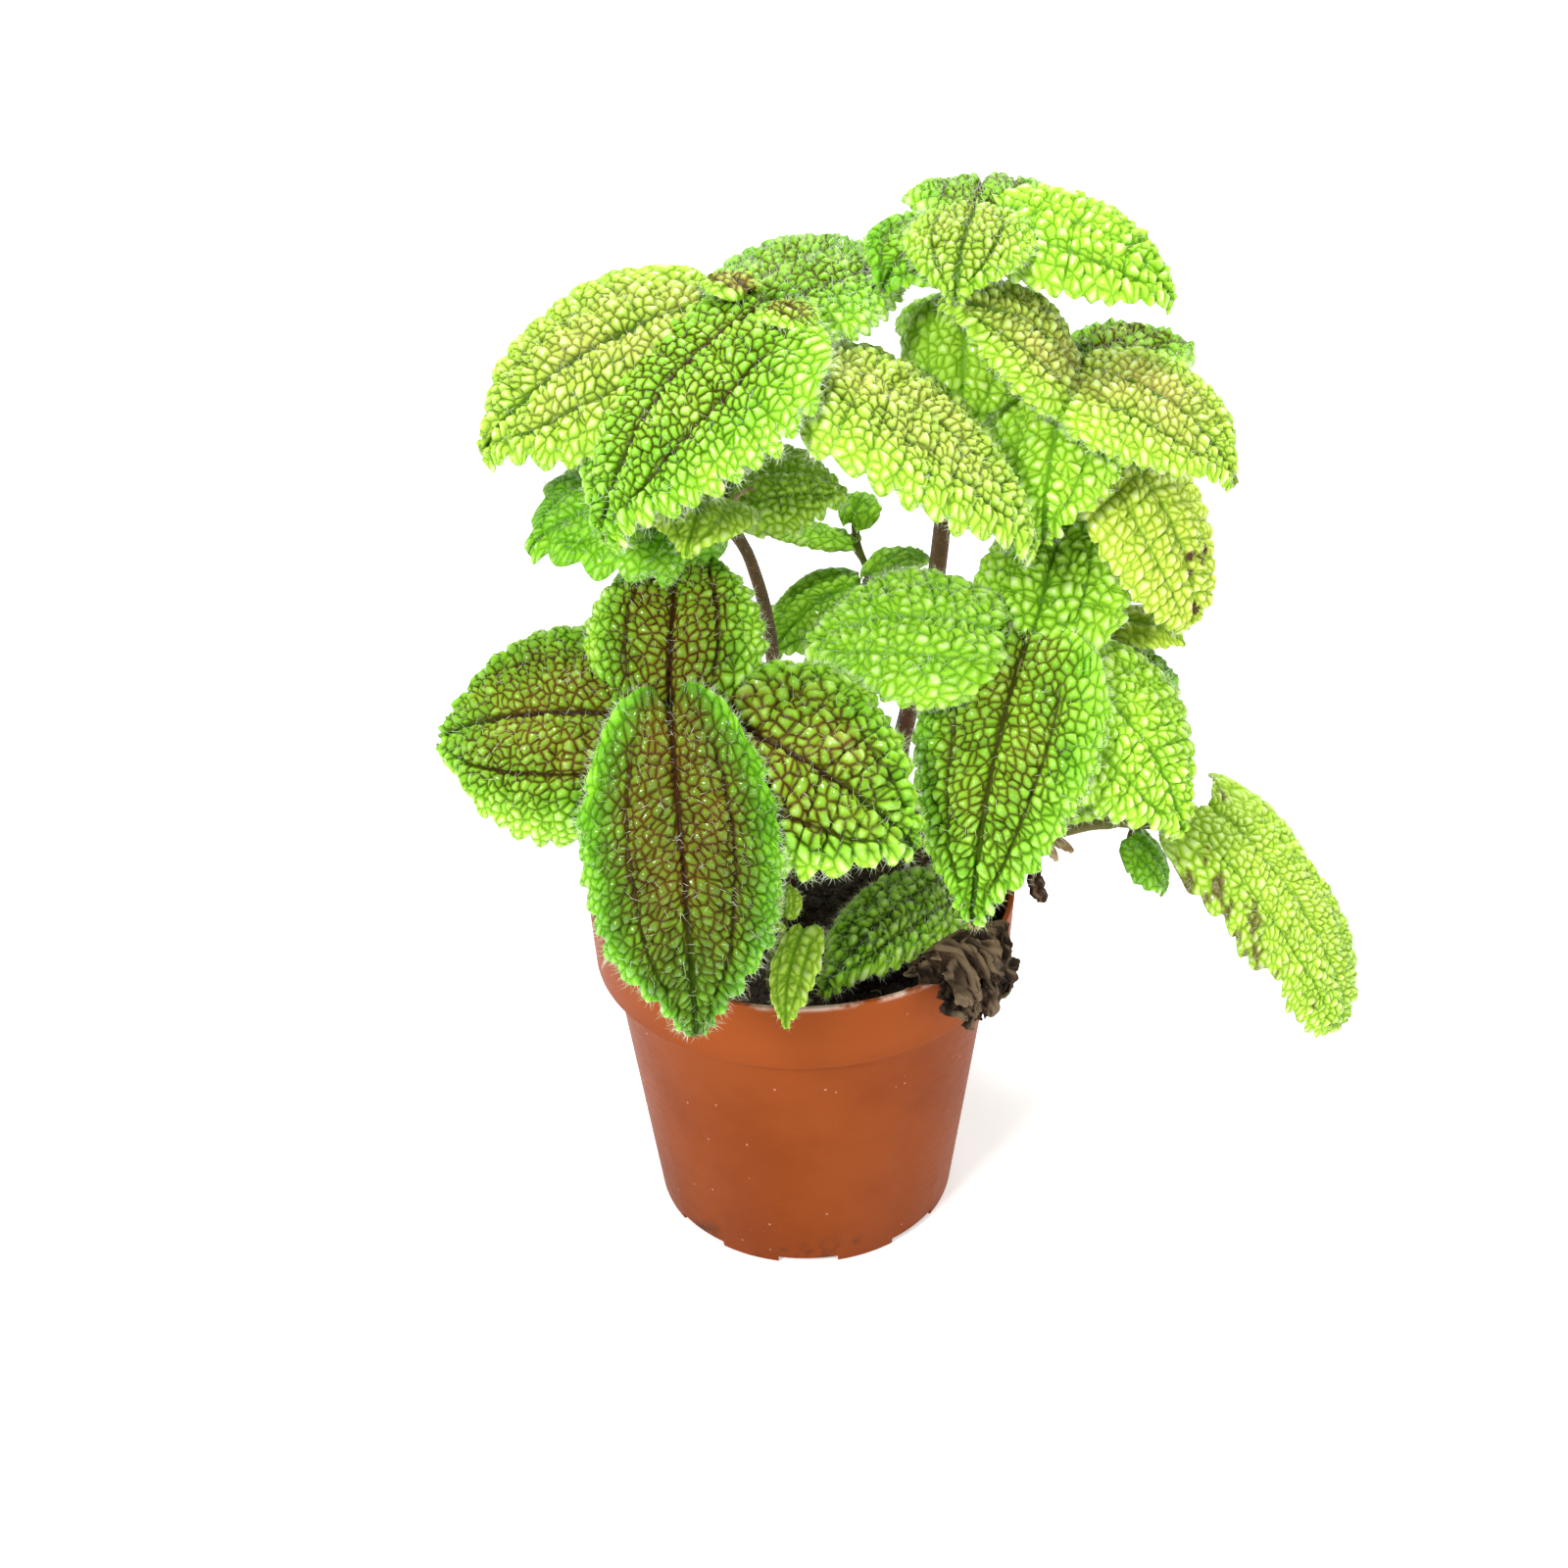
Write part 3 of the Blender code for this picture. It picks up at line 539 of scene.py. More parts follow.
def makeHairTree():
    # thin pale hairs, three-sided and pointed, leaning at random, denser where "fuzz" is high
    tree, start, end = newTree("growHairs", "GeometryNodeTree", {
        "Geometry": ("Geometry", None), "hairsPerSquareMetre": ("Float", 700000.0),
        "hairLength": ("Float", 0.0016), "hairRadius": ("Float", 0.00004), "lean": ("Float", 0.6),
        "underShare": ("Float", 1.0), "hairSeed": ("Int", 3), "hairSkin": ("Material", None)},
        {"Geometry": "Geometry"})
    density = times(tree, namedValue(tree, "fuzz"), start.outputs["hairsPerSquareMetre"])
    layer = tree.nodes.new("GeometryNodeInputMaterialIndex")
    lower = addNode(tree, "ShaderNodeMix", {"data_type": "FLOAT"}, {2: 1.0},
                    {0: layer.outputs[0], 3: start.outputs["underShare"]})
    dots = addNode(tree, "GeometryNodeDistributePointsOnFaces", {"distribute_method": "RANDOM"}, {},
                   {"Mesh": start.outputs["Geometry"], "Density": times(tree, density, lower.outputs[0]),
                    "Seed": start.outputs["hairSeed"]})
    spike = addNode(tree, "GeometryNodeMeshCone", {"fill_type": "NONE"}, {
        "Vertices": 3, "Side Segments": 1, "Radius Top": 0.0, "Radius Bottom": 1.0, "Depth": 1.0})
    swing = randomValue(tree, times(tree, start.outputs["lean"], -1.0), start.outputs["lean"])
    turn = addNode(tree, "FunctionNodeEulerToRotation", {}, {}, {0: swing})
    facing = addNode(tree, "FunctionNodeRotateRotation", {"rotation_space": "LOCAL"}, {},
                     {0: dots.outputs["Rotation"], 1: turn.outputs[0]})
    reach = times(tree, randomValue(tree, 0.45, 1.15, "FLOAT"), start.outputs["hairLength"])
    scale = addNode(tree, "ShaderNodeCombineXYZ", {}, {}, {
        "X": start.outputs["hairRadius"], "Y": start.outputs["hairRadius"], "Z": reach})
    hairs = addNode(tree, "GeometryNodeInstanceOnPoints", {}, {}, {
        "Points": dots.outputs["Points"], "Instance": spike.outputs["Mesh"],
        "Rotation": facing.outputs[0], "Scale": scale.outputs[0]})
    painted = realAndPainted(tree, hairs.outputs[0], start.outputs["hairSkin"])
    tree.links.new(joined(tree, painted, start.outputs["Geometry"]), end.inputs["Geometry"])
    return tree


quiltTree = makeQuiltTree()
hairTree = makeHairTree()
print("quilt and hair trees made")


# leaf looks: lime 0 deep green to 1 lime, net how brown the creases are, blush brown along the middle,
# paleLift towards pale yellow, partly the leaf's own paleness and partly painted light, fuzz how hairy,
# relief how high the domes stand, rim lime at the margin,
# cell how large the domes are, tooth how deep the teeth, ladder how strong the side veins
kindValues = ("lime", "net", "blush", "paleLift", "fuzz", "relief", "rim", "cell", "tooth", "ladder")
# the kinds' lime and pale yellow also hold painted light: the upper leaves are paler and lighter, and leaves
# that lie in shade, such as inner_right, inner_front, tall_front and mid_small, are lifted with more lime and
# pale yellow
leafKinds = {
    "bronzed": (0.42, 1.00, 0.95, 0.00, 1.10, 1.25, 0.60, 0.95, 1.00, 0.14),
    "mossy": (0.12, 1.00, 0.85, 0.00, 1.30, 1.25, 0.36, 0.95, 1.00, 0.14),
    "bigBronzed": (0.50, 1.00, 0.85, 0.00, 1.10, 1.35, 0.60, 1.22, 1.40, 0.24),
    "fresh": (0.47, 0.85, 0.60, 0.00, 0.80, 1.20, 0.24, 1.00, 0.90, 0.18),
    "sunlit": (0.80, 0.50, 0.75, 0.32, 1.40, 1.20, 0.10, 0.92, 1.00, 0.18),
    "downy": (0.70, 0.65, 0.60, 0.12, 3.50, 1.20, 0.25, 0.85, 1.00, 0.18),
    "veined": (0.54, 1.00, 0.32, 0.00, 1.30, 1.10, 0.34, 0.92, 1.30, 0.20),
    "grass": (0.76, 0.10, 0.00, 0.00, 5.00, 1.20, 0.20, 1.05, 1.00, 0.22),
    "bright": (0.90, 0.20, 0.00, 0.10, 0.80, 1.10, 0.10, 1.05, 1.20, 0.20),
    "crisp": (0.88, 0.35, 0.00, 0.00, 0.80, 1.25, 0.15, 1.12, 1.20, 0.28),
    "lime": (0.78, 0.65, 0.55, 0.28, 1.60, 1.20, 0.08, 1.00, 1.40, 0.22),
    "deep": (0.38, 0.70, 0.35, 0.00, 3.20, 1.25, 0.40, 1.00, 1.00, 0.20),
    "plush": (0.56, 1.00, 0.55, 0.00, 6.00, 1.40, 0.35, 1.10, 1.10, 0.20),
    "dusky": (0.46, 0.90, 0.40, 0.00, 8.00, 1.20, 0.45, 0.95, 1.10, 0.15),
    "ruffled": (0.70, 0.75, 0.20, 0.00, 7.00, 1.70, 0.45, 1.00, 1.40, 0.35),
    "smooth": (0.46, 0.00, 0.00, 0.00, 5.00, 1.00, 0.10, 0.95, 1.50, 0.10),
    "vivid": (1.00, 0.00, 0.00, 0.25, 5.00, 0.90, 0.15, 0.90, 1.60, 0.15),
    "pale": (1.00, 0.15, 0.00, 0.85, 0.60, 0.70, 0.00, 1.05, 0.90, 0.25),
    "worn": (0.80, 0.15, 0.15, 0.35, 2.20, 1.20, 0.05, 0.90, 1.20, 0.12),
    "tender": (0.85, 0.00, 0.00, 0.45, 1.20, 0.45, 0.10, 1.00, 1.20, 0.25),
    "young": (0.58, 0.95, 0.95, 0.15, 1.80, 0.90, 0.30, 0.80, 1.30, 0.15),
    "olive": (0.44, 0.20, 0.05, 0.15, 1.40, 0.80, 0.20, 1.00, 1.00, 0.20),
}

# one leaf each, in whole millimetres and degrees as in the model
leafPlan = namedtuple("leafPlan", (
    "base", "tip", "width",
    "bow",       # rise of the midrib
    "droop",     # of the margins
    "turn", "teeth", "look",
    "full",      # fullness at the base
    "sharp",     # and at the tip
), defaults=(0.50, 0.75))
leafTable = {
    "leaf_low_front": ((-26, -56, 167), (-22, -86, 108), 45, 10.5, 37, 3, 13, "mossy", 0.66, 0.75),
    "leaf_low_back": ((-27, -40, 164), (-25, -2, 184), 42, 7.0, 35, 0, 11, "bronzed"),
    "leaf_low_left": ((-35, -40, 160), (-81, -24, 145), 58, 8.0, 43, -40, 11, "bronzed"),
    "leaf_low_right": ((-16, -43, 160), (25, -60, 137), 54, 7.5, 36, 33, 10, "bigBronzed"),
    "leaf_mid_front": ((49, -25, 165), (37, -55, 112), 45, 9.0, 35, 0, 14, "fresh", 0.50, 0.90),
    "leaf_mid_left": ((42, -20, 169), (1, -13, 160), 42, 8.0, 40, -24, 11, "grass"),
    "leaf_mid_back": ((53, -14, 165), (66, 18, 180), 38, 6.0, 30, 0, 10, "crisp"),
    "leaf_mid_right": ((61, -18, 158), (86, -32, 122), 44, 7.0, 35, 21, 11, "bright"),
    "leaf_mid_under": ((62, -5, 155), (91, 18, 132), 32, 6.0, 37, 4, 12, "deep"),
    "leaf_mid_small": ((75, 6, 158), (90, 0, 154), 14, 2.0, 25, 20, 7, "pale"),
    "leaf_high_left": ((61, 5, 218), (31, 0, 236), 32, 6.0, 32, -33, 11, "sunlit"),
    "leaf_high_right": ((65, 6, 218), (95, -13, 198), 37, 7.0, 33, 16, 12, "sunlit"),
    "leaf_high_front": ((61, 8, 216), (54, -12, 185), 36, 5.7, 41, 3, 10, "bright"),
    "leaf_high_back": ((65, 17, 215), (93, 40, 209), 30, 6.0, 31, 5, 11, "plush"),
    "leaf_top_front": ((39, 10, 252), (34, -7, 238), 30, 4.0, 33, -1, 10, "downy", 0.45, 0.70),
    "leaf_top_right": ((47, 17, 250), (82, 5, 232), 35, 6.5, 42, 20, 11, "crisp"),
    "leaf_top_back": ((41, 25, 250), (45, 46, 246), 34, 3.0, 10, -2, 10, "dusky"),
    "leaf_top_left": ((34, 19, 246), (19, 1, 238), 30, 3.5, 32, -12, 11, "deep"),
    "leaf_tall_front": ((38, 15, 230), (37, 1, 205), 32, 4.5, 46, 2, 11, "bright"),
    "leaf_tall_back": ((37, 25, 222), (44, 58, 212), 32, 6.0, 35, 0, 11, "grass"),
    "leaf_tall_low": ((29, 28, 140), (40, 66, 128), 34, 7.0, 35, 6, 11, "olive"),
    "leaf_tall_shoot": ((22, 24, 113), (18, 28, 120), 11, 2.0, 30, 0, 5, "olive"),
    "leaf_crown_front": ((-8, -12, 238), (-40, -34, 196), 56, 9.5, 36, -8, 13, "veined"),
    "leaf_crown_left": ((-21, -5, 237), (-67, -13, 208), 48, 7.5, 32, -31, 10, "lime", 0.50, 0.70),
    "leaf_crown_back": ((-9, 6, 237), (25, 26, 233), 49, 7.0, 36, 6, 12, "dusky", 0.50, 0.70),
    "leaf_crown_right": ((6, -11, 228), (51, -26, 188), 49, 7.5, 34, 4, 11, "lime"),
    "leaf_crown_young_left": ((-9, -8, 242), (-18, -1, 241), 15, 2.3, 20, 1, 7, "young"),
    "leaf_crown_young_right": ((-4, -10, 239), (5, -19, 236), 15, 2.0, 19, 1, 7, "young"),
    "leaf_inner_left": ((-22, 1, 193), (-59, -14, 187), 44, 6.0, 29, -19, 6, "smooth", 0.50, 0.70),
    "leaf_inner_right": ((-12, 2, 195), (12, 4, 190), 34, 5.0, 35, 14, 7, "vivid"),
    "leaf_inner_front": ((-18, -10, 197), (-23, -28, 191), 24, 3.8, 16, -5, 10, "tender"),
    "leaf_inner_back": ((-16, 8, 192), (-38, 44, 182), 40, 7.0, 35, -8, 11, "grass"),
    "leaf_twig_left": ((12, 46, 163), (-13, 37, 170), 16, 1.0, 40, 0, 9, "olive"),
    "leaf_twig_top": ((14, 43, 168), (20, 50, 171), 13, 3.0, 29, 3, 6, "olive"),
    "leaf_twig_down": ((15, 38, 153), (-7, 26, 139), 25, 5.0, 34, -21, 10, "olive"),
    "leaf_twig_right": ((19, 34, 158), (34, 42, 157), 15, 3.8, 30, 1, 7, "olive"),
    "leaf_twig_back": ((12, 40, 141), (-6, 70, 128), 27, 6.0, 34, 1, 9, "olive"),
    "leaf_side_small": ((82, 2, 100), (90, -2, 86), 20, 2.5, 34, -2, 5, "smooth"),
    "leaf_side_far": ((102, 3, 106), (134, -16, 55), 39, 8.0, 35, 14, 13, "worn", 0.34, 0.42),
    "leaf_side_near": ((74, 12, 113), (60, 1, 104), 26, 3.9, 27, 0, 8, "grass"),
    "leaf_right_low": ((73, 10, 198), (90, -4, 160), 39, 6.0, 30, 6, 11, "pale", 0.50, 0.58),
    "leaf_right_back": ((60, 26, 197), (48, 60, 180), 36, 7.0, 35, 0, 12, "grass"),
    "leaf_front_low": ((-21, -20, 112), (-40, 10, 106), 26, 5.0, 35, -10, 9, "grass"),
    "leaf_on_soil": ((38, -3, 92), (4, -45, 89), 29, 6.5, 39, -4, 13, "ruffled"),
}
shootTable = {
    "shoot_hanging": ((0, -44, 106), (-4, -60, 91), 13, 3.0, 40, 14, 6, "tender"),
    "shoot_upper": ((-4, -37, 106), (-3, -30, 110), 8, 1.6, 19, -2, 4, "tender"),
    "shoot_lower": ((-5, -40, 106), (-11, -44, 106), 7, 1.4, 20, 0, 4, "tender"),
}
leafTable, shootTable = ({name: leafPlan(*row) for name, row in table.items()}
                         for table in (leafTable, shootTable))
# leaves that the front view shows large get the finest cells
fineLeaves = ("low_front", "low_back", "low_left", "low_right", "mid_front", "mid_left", "mid_back",
              "mid_right", "high_left", "high_right", "high_front", "top_front", "top_right", "crown_front",
              "crown_left", "crown_back", "crown_right", "right_low", "side_far", "on_soil", "inner_left",
              "inner_right")
# brown spots: share of the length, share of the half width, radius in millimetres
blotTable = {
    "leaf_right_low": ((0.63, -0.10, 1.5), (0.67, -0.28, 1.4), (0.65, -0.46, 1.4), (0.71, -0.04, 1.1),
                       (0.88, 0.00, 1.2), (0.91, -0.16, 1.2)),
}


def kindOf(leaf):
    return dict(zip(kindValues, leafKinds[leaf.look]))


def bladeAxes(leaf):
    # the midrib's three control points and the way that the blade faces
    base = np.array(leaf.base, float) * mm
    tip = np.array(leaf.tip, float) * mm
    chord = unit(tip - base)
    normal = unit(np.array((0, 0, 1.0)) - chord * chord[2])
    side = np.cross(chord, normal)
    turn = math.radians(leaf.turn)
    normal = normal * math.cos(turn) + side * math.sin(turn)
    middle = (base + tip) / 2 + normal * (2 * leaf.bow * mm)
    return base, middle, tip, normal


def bladeHalf(leaf, u):
    # half the blade's width along the midrib
    full = max(leaf.full + bladeRule["full"], 0.2)
    sharp = leaf.sharp
    peak = (full / (full + sharp)) ** full * (sharp / (full + sharp)) ** sharp
    u = (u + bladeRule["shift"]) / (1 + bladeRule["shift"])
    narrowing = 1 - (bladeRule["dripTip"] if sharp > 0.65 else 0.0) * smooth(0.72, 0.95, u)
    return leaf.width / 2 * mm * np.clip(u, 0, 1) ** full * np.clip(1 - u, 0, 1) ** sharp / peak * narrowing


def bladeSpot(leaf, u, across, lift):
    # a place on the bent blade: along the midrib, across it and above its face
    base, middle, tip, normal = bladeAxes(leaf)
    share = np.asarray(u)[..., None]
    along = unit((middle - base) * (2 * (1 - share)) + (tip - middle) * (2 * share))
    right = unit(np.cross(along, normal))
    out = np.cross(right, along)
    centre = base * (1 - share) ** 2 + middle * (2 * share * (1 - share)) + tip * share ** 2
    bend = math.radians(leaf.droop) / (leaf.width / 2 * mm)
    angle = (bend * np.asarray(across))[..., None]
    spot = centre + right * (np.sin(angle) / bend) - out * ((1 - np.cos(angle)) / bend)
    return spot + (out * np.cos(angle) + right * np.sin(angle)) * np.asarray(lift)[..., None]


def bladeGrid(name, leaf, detail):
    # rows follow the side veins, columns run across; every random draw of the leaf is made here
    rule = bladeRule
    draw = np.random.default_rng(sum(map(ord, name)))
    grid = SimpleNamespace(name=name, leaf=leaf, kind=kindOf(leaf), width=leaf.width * mm)
    grid.jagStart = draw.uniform(0, 6)
    grid.drift = draw.uniform(0, 6.28, 3)
    grid.cellStart = int(draw.integers(3, 60))
    chord = float(np.linalg.norm(np.array(leaf.tip) - np.array(leaf.base)))
    grid.length = chord * mm * rule["archLength"]
    grid.cell = min(rule["cellWidth"] * grid.kind["cell"], rule["widestCell"] * grid.width)
    grid.pitch = grid.length * (1 - rule["start"]) / leaf.teeth
    rows = int(grid.pitch / grid.cell * leaf.teeth * detail)
    halfColumns = max(int(grid.width / 2 / grid.cell * detail), 5)
    t = np.linspace(0, 1, rows + 1)[:-1]
    rowU = rule["start"] + (1 - rule["start"]) * (t - 0.05 * np.sin(2 * np.pi * t))    # closer at both ends
    v = np.linspace(-1, 1, 2 * halfColumns + 1)
    grid.u, grid.v = np.meshgrid(rowU, np.sign(v) * np.abs(v) ** 0.94, indexing="ij")
    grid.side = np.sign(grid.v)
    grid.reach = np.abs(grid.v)
    grid.phase = (grid.u - rule["start"]) / (1 - rule["start"]) * leaf.teeth
    grid.offVein = np.abs(grid.phase - np.round(grid.phase)) * 2
    return grid


def bladeForm(grid):
    # the points of the toothed, bowed and gently waved blade, with one more at its tip
    rule = bladeRule
    leaf, kind, u, reach, width = grid.leaf, grid.kind, grid.u, grid.reach, grid.width
    rise, fall = rule["toothRise"], rule["toothFall"]
    saw = grid.phase - np.floor(grid.phase)
    tooth = np.where(saw < rise, np.sin(saw / rise * np.pi / 2), np.cos((saw - rise) / fall * np.pi / 2))
    margin = smooth(0.80, 1.0, reach)
    ends = smooth(0.0, 0.08, u) * (1 - smooth(0.95, 1.0, u))
    swept = u + rule["sweep"] * reach * 4 * np.maximum(u, 0) * (1 - u)
    grid.half = bladeHalf(leaf, swept)
    place = swept - rule["lobe"] * reach ** 1.3 * np.exp(-np.maximum(u, 0) / 0.07)
    place = np.minimum(place + rule["toothReach"] / leaf.teeth * tooth * margin * ends, 0.999)
    if grid.name == "leaf_side_far":    # an old leaf with a ragged outline
        ragged = wanderingNoise(u * 24, grid.side * 9, 1.0, 12)
        grid.half = grid.half * (1 + 0.13 * ragged * smooth(0.5, 1.0, reach))
    depth = rule["toothDepth"] * kind["tooth"] * width
    jag = 1 + rule["unevenTeeth"] * np.sin(grid.phase.astype(int) * 2.4 + 3 * grid.side + grid.jagStart)
    grid.across = grid.v * grid.half + grid.side * depth * jag * (tooth - 0.45) * margin * ends
    grid.along = place * grid.length
    wave = rule["wave"] * (0.3 if kind["relief"] < 0.5 else 1.0) * width / (rule["usualWidth"] * mm)
    wave = wave * reach ** 2 * np.sin(9 * u + 3 * grid.side + grid.drift[0])
    inside = np.sin(np.pi * np.clip(reach / rule["lateral"], 0, 1))
    outside = np.sin(np.pi * np.clip((reach - rule["lateral"]) / (1 - rule["lateral"]), 0, 1))
    panel = rule["panel"] * width * (inside + 0.7 * outside) * grid.half / grid.half.max()
    droop = -rule["edgeDroop"] * width * reach ** 6 - rule["tipDroop"] * width * smooth(0.86, 1.0, u)
    quilting = rule["quilting"] * width * (0.5 + 2.5 * kind["ladder"]) * np.sin(grid.offVein * np.pi / 2)
    quilting = quilting * smooth(0.02, 0.25, reach) * (1 - margin) * ends
    spots = bladeSpot(leaf, place, grid.across, wave + panel + droop + quilting).reshape(-1, 3)
    tip = bladeSpot(leaf, np.array([1.0]), np.array([0.0]), np.array([-rule["tipDroop"] * width]))
    return np.vstack([spots, tip])


def bladeBlots(grid):
    # damage along the far leaf's edge, and the round spots of blotTable
    blot = np.zeros_like(grid.reach)
    along, across = grid.along / mm, grid.across / mm
    if grid.name == "leaf_side_far":
        wander = wanderingNoise(along, across, 0.75, 5) + 0.6 * wanderingNoise(along, across, 2.2, 9)
        where = smooth(0.35, 0.95, grid.v) * (1 - smooth(0.28, 0.62, grid.u)) * smooth(-0.02, 0.08, grid.u)
        blot = smooth(0.55, 1.05, wander * 0.42 + where * 0.85) * 0.85
    for spotU, spotV, size in blotTable.get(grid.name, ()):
        away = np.hypot(grid.along - spotU * grid.length, grid.across - spotV * grid.half) / mm
        blot = np.maximum(blot, 1 - smooth(size * 0.75, size, away))
    return blot


def bladeMaps(grid):
    # what the quilt, the hairs and the finish read at each point
    kind, u, reach = grid.kind, grid.u, grid.reach
    rule = bladeRule
    thin = (rule["veinWidth"] + rule["brownVeins"] * kind["net"]) * min(grid.cell, rule["widestVeined"])
    lateralGap = np.abs(reach - rule["lateral"]) * grid.half
    lateralFade = smooth(0.02, 0.12, u) * (1 - smooth(0.70, 0.92, u))
    rib = np.maximum(np.exp(-(np.abs(grid.across) / (thin * 0.9)) ** 2),
                     rule["lateralVeins"] * lateralFade * np.exp(-(lateralGap / (thin * 0.7)) ** 2))
    ladder = np.exp(-(grid.offVein / 0.20) ** 2) * smooth(0.02, 0.10, u) * (1 - smooth(0.85, 1.0, reach))
    patchy = 0.5 + 0.5 * (np.sin(grid.along / mm * 0.21 + grid.drift[1])
                          * np.cos(grid.across / mm * 0.33 + grid.drift[2]))
    blush = kind["blush"] * (1 - smooth(0.25, 0.92, reach)) * (1 - 0.75 * smooth(0.35, 0.95, u))
    net = kind["net"] * (1.0 - 0.85 * smooth(0.48, 0.96, reach)) * (1 - 0.5 * smooth(0.45, 1.0, u))
    marginFuzz = hairRule["onMargin"] * min(kind["fuzz"], hairRule["mostOnMargin"])
    return {
        "rib": np.maximum(rib, min(2.2 * kind["ladder"], 0.8) * ladder),
        "blush": np.clip(blush * (0.75 + 0.5 * patchy), 0, 1),
        "lime": np.clip(kind["lime"] + kind["rim"] * smooth(0.62, 1.0, reach) + 0.12 * (patchy - 0.5), 0, 1),
        "net": np.clip(net, 0, 1),
        "fuzz": kind["fuzz"] * hairRule["onFace"] + marginFuzz * smooth(0.90, 1.0, reach),
        "blot": bladeBlots(grid),
        "hem": (1 - 0.60 * smooth(0.62, 1.0, reach)) * (0.35 if grid.leaf.look == "smooth" else 1.0),
        "paleLift": np.full(reach.shape, kind["paleLift"]),
    }


def bladeSheet(name, leaf, detail):
    # the upper face as a fine grid, with its maps; veinMap counts cells along and across
    grid = bladeGrid(name, leaf, detail)
    spots = bladeForm(grid)
    rows, columns = grid.reach.shape
    tip = len(spots) - 1
    last = tip - columns
    faces = gridFaces(rows, columns) + [(last + j, last + j + 1, tip) for j in range(columns - 1)]
    piece = meshPiece(name + "_blade", spots, faces, [leafUpper, leafUnder, leafHair])
    veinMap = np.zeros(spots.shape)
    veinMap[:-1, 0] = (grid.phase * grid.pitch / grid.cell).ravel() - 0.15 + grid.cellStart
    veinMap[:-1, 1] = (grid.across / grid.cell).ravel() + 0.35
    veinMap[-1] = veinMap[last]
    pointValues(piece.data, "veinMap", veinMap, "FLOAT_VECTOR")
    for key, values in bladeMaps(grid).items():
        pointValues(piece.data, key, np.append(values.ravel(), values.ravel()[last]))
    return piece, grid.cell


def growLeaf(name, leaf, detail):
    piece, cell = bladeSheet(name, leaf, detail)
    rule = bladeRule
    size = leaf.width / rule["usualWidth"]
    useTree(piece, quiltTree, {
        "puffHeight": rule["puff"] * kindOf(leaf)["relief"] * cell / rule["cellWidth"],
        "creaseShare": rule["creaseShare"], "ribDepth": rule["ribDepth"] * min(1.0, size),
        "unevenness": rule["unevenness"], "skin": leafUpper})
    addWall(piece, rule["thickness"], -1.0, underside=1)
    useTree(piece, hairTree, {
        "hairsPerSquareMetre": hairRule["perSquareMetre"],
        "hairLength": hairRule["length"] * min(1.2, 0.5 + 0.5 * size), "hairRadius": hairRule["radius"],
        "underShare": hairRule["underShare"], "lean": hairRule["lean"],
        "hairSeed": sum(map(ord, name)) % 97, "hairSkin": leafHair})
    return settled(piece)


def dressLeaves():
    count = 0
    for name, leaf in leafTable.items():
        fine = name.removeprefix("leaf_") in fineLeaves
        piece = growLeaf(name, leaf, bladeRule["fineDetail"] if fine else bladeRule["detail"])
        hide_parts(name)
        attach(piece, "root")
        count += sum(len(face.vertices) - 2 for face in piece.data.polygons)
    print("leaves grown:", len(leafTable), "with", count, "triangles")


# stems and stalks

# places in millimetres along each stem, each with its radius
stemTable = {
    "stem_left": (((-3, 5, 74.5), 2.0), ((-4, 4, 115), 1.9), ((-6, 3, 155), 1.6), ((-10, 2, 176), 1.4),
                  ((-16, 0, 192), 1.4), ((-13, 9, 210), 1.2), ((-8, 5, 230), 1.1), ((-7, 0, 236), 1.0)),
    "stem_tall": (((20, 25, 74.5), 2.4), ((25, 22, 113), 2.3), ((31, 20, 145), 2.2), ((34.6, 20, 176), 2.0),
                  ((37, 20, 222), 1.6), ((40, 20, 249), 1.2)),
    "stem_right": (((26, 9, 74.5), 2.2), ((40, 24, 125), 2.0), ((55, 30, 165), 1.8), ((62, 26, 197), 1.6),
                   ((63, 12, 214), 1.2)),
    "stem_side": (((33, 2, 74.5), 1.6), ((43, 3, 91), 1.6), ((53, 4, 96.5), 1.5), ((62, 6, 99), 1.4),
                  ((76, 8, 101), 1.3), ((88, 5, 102), 1.1)),
    "stem_mid": (((17, 3, 74.5), 2.0), ((26, 1, 110), 1.9), ((42, -11, 142), 1.7), ((50, -18, 163), 1.3)),
    "stem_front": (((-14, -22, 74.5), 2.2), ((-18, -27, 110), 2.0), ((-23, -36, 140), 1.7),
                   ((-27, -44, 160), 1.3)),
    "stem_twig": (((5, 25, 74.5), 1.2), ((10, 32, 115), 1.1), ((18, 39, 150), 0.9), ((15, 43, 162), 0.8)),
    "stem_shoot": (((-8, -30, 74.5), 0.9), ((-7, -35, 95), 0.8), ((-3, -40, 104), 0.7)),
}
stemRule = {
    "sides": 14,
    "step": 2.2 * mm,
    "ridges": 5,
    "ridgeHeight": 0.07,      # as a share of the radius
    "nodeSwelling": 0.32,     # at each leaf's joint
    "nodeReach": 2.0 * mm,
    "footSwelling": 0.25,     # where the stem stands in the soil
    "hairLength": 1.1 * mm,
    "hairRadius": 0.03 * mm,
    "hairLean": 0.5,
    "flakeThickness": 0.2 * mm,
    "shootDetail": 3.0,
    "usualGreen": (0.05, 0.6),    # how green the stem is at its foot and at its top
}
stalkRule = {
    "drop": 0.35,             # how far below the leaf it sets out, as a share of the leaf's length
    "underLeaf": 0.45,        # where it aims for, on the way down to there
    "gap": 1.3 * mm,          # from the blade's face to the stalk's end
    "neck": 1.5 * mm,
    "onward": 2.5 * mm,       # how far it runs on along the midrib, and rises
    "rise": 0.3 * mm,
    "arch": 0.06,
    "radius": (1.0, 0.75),    # the thickest, and the share of the stem's radius
    "taper": (1.25, 1.0, 0.9, 0.8, 0.35),
    "step": 1.6 * mm,
    "sides": 9,
    "green": (0.15, 0.85),
}
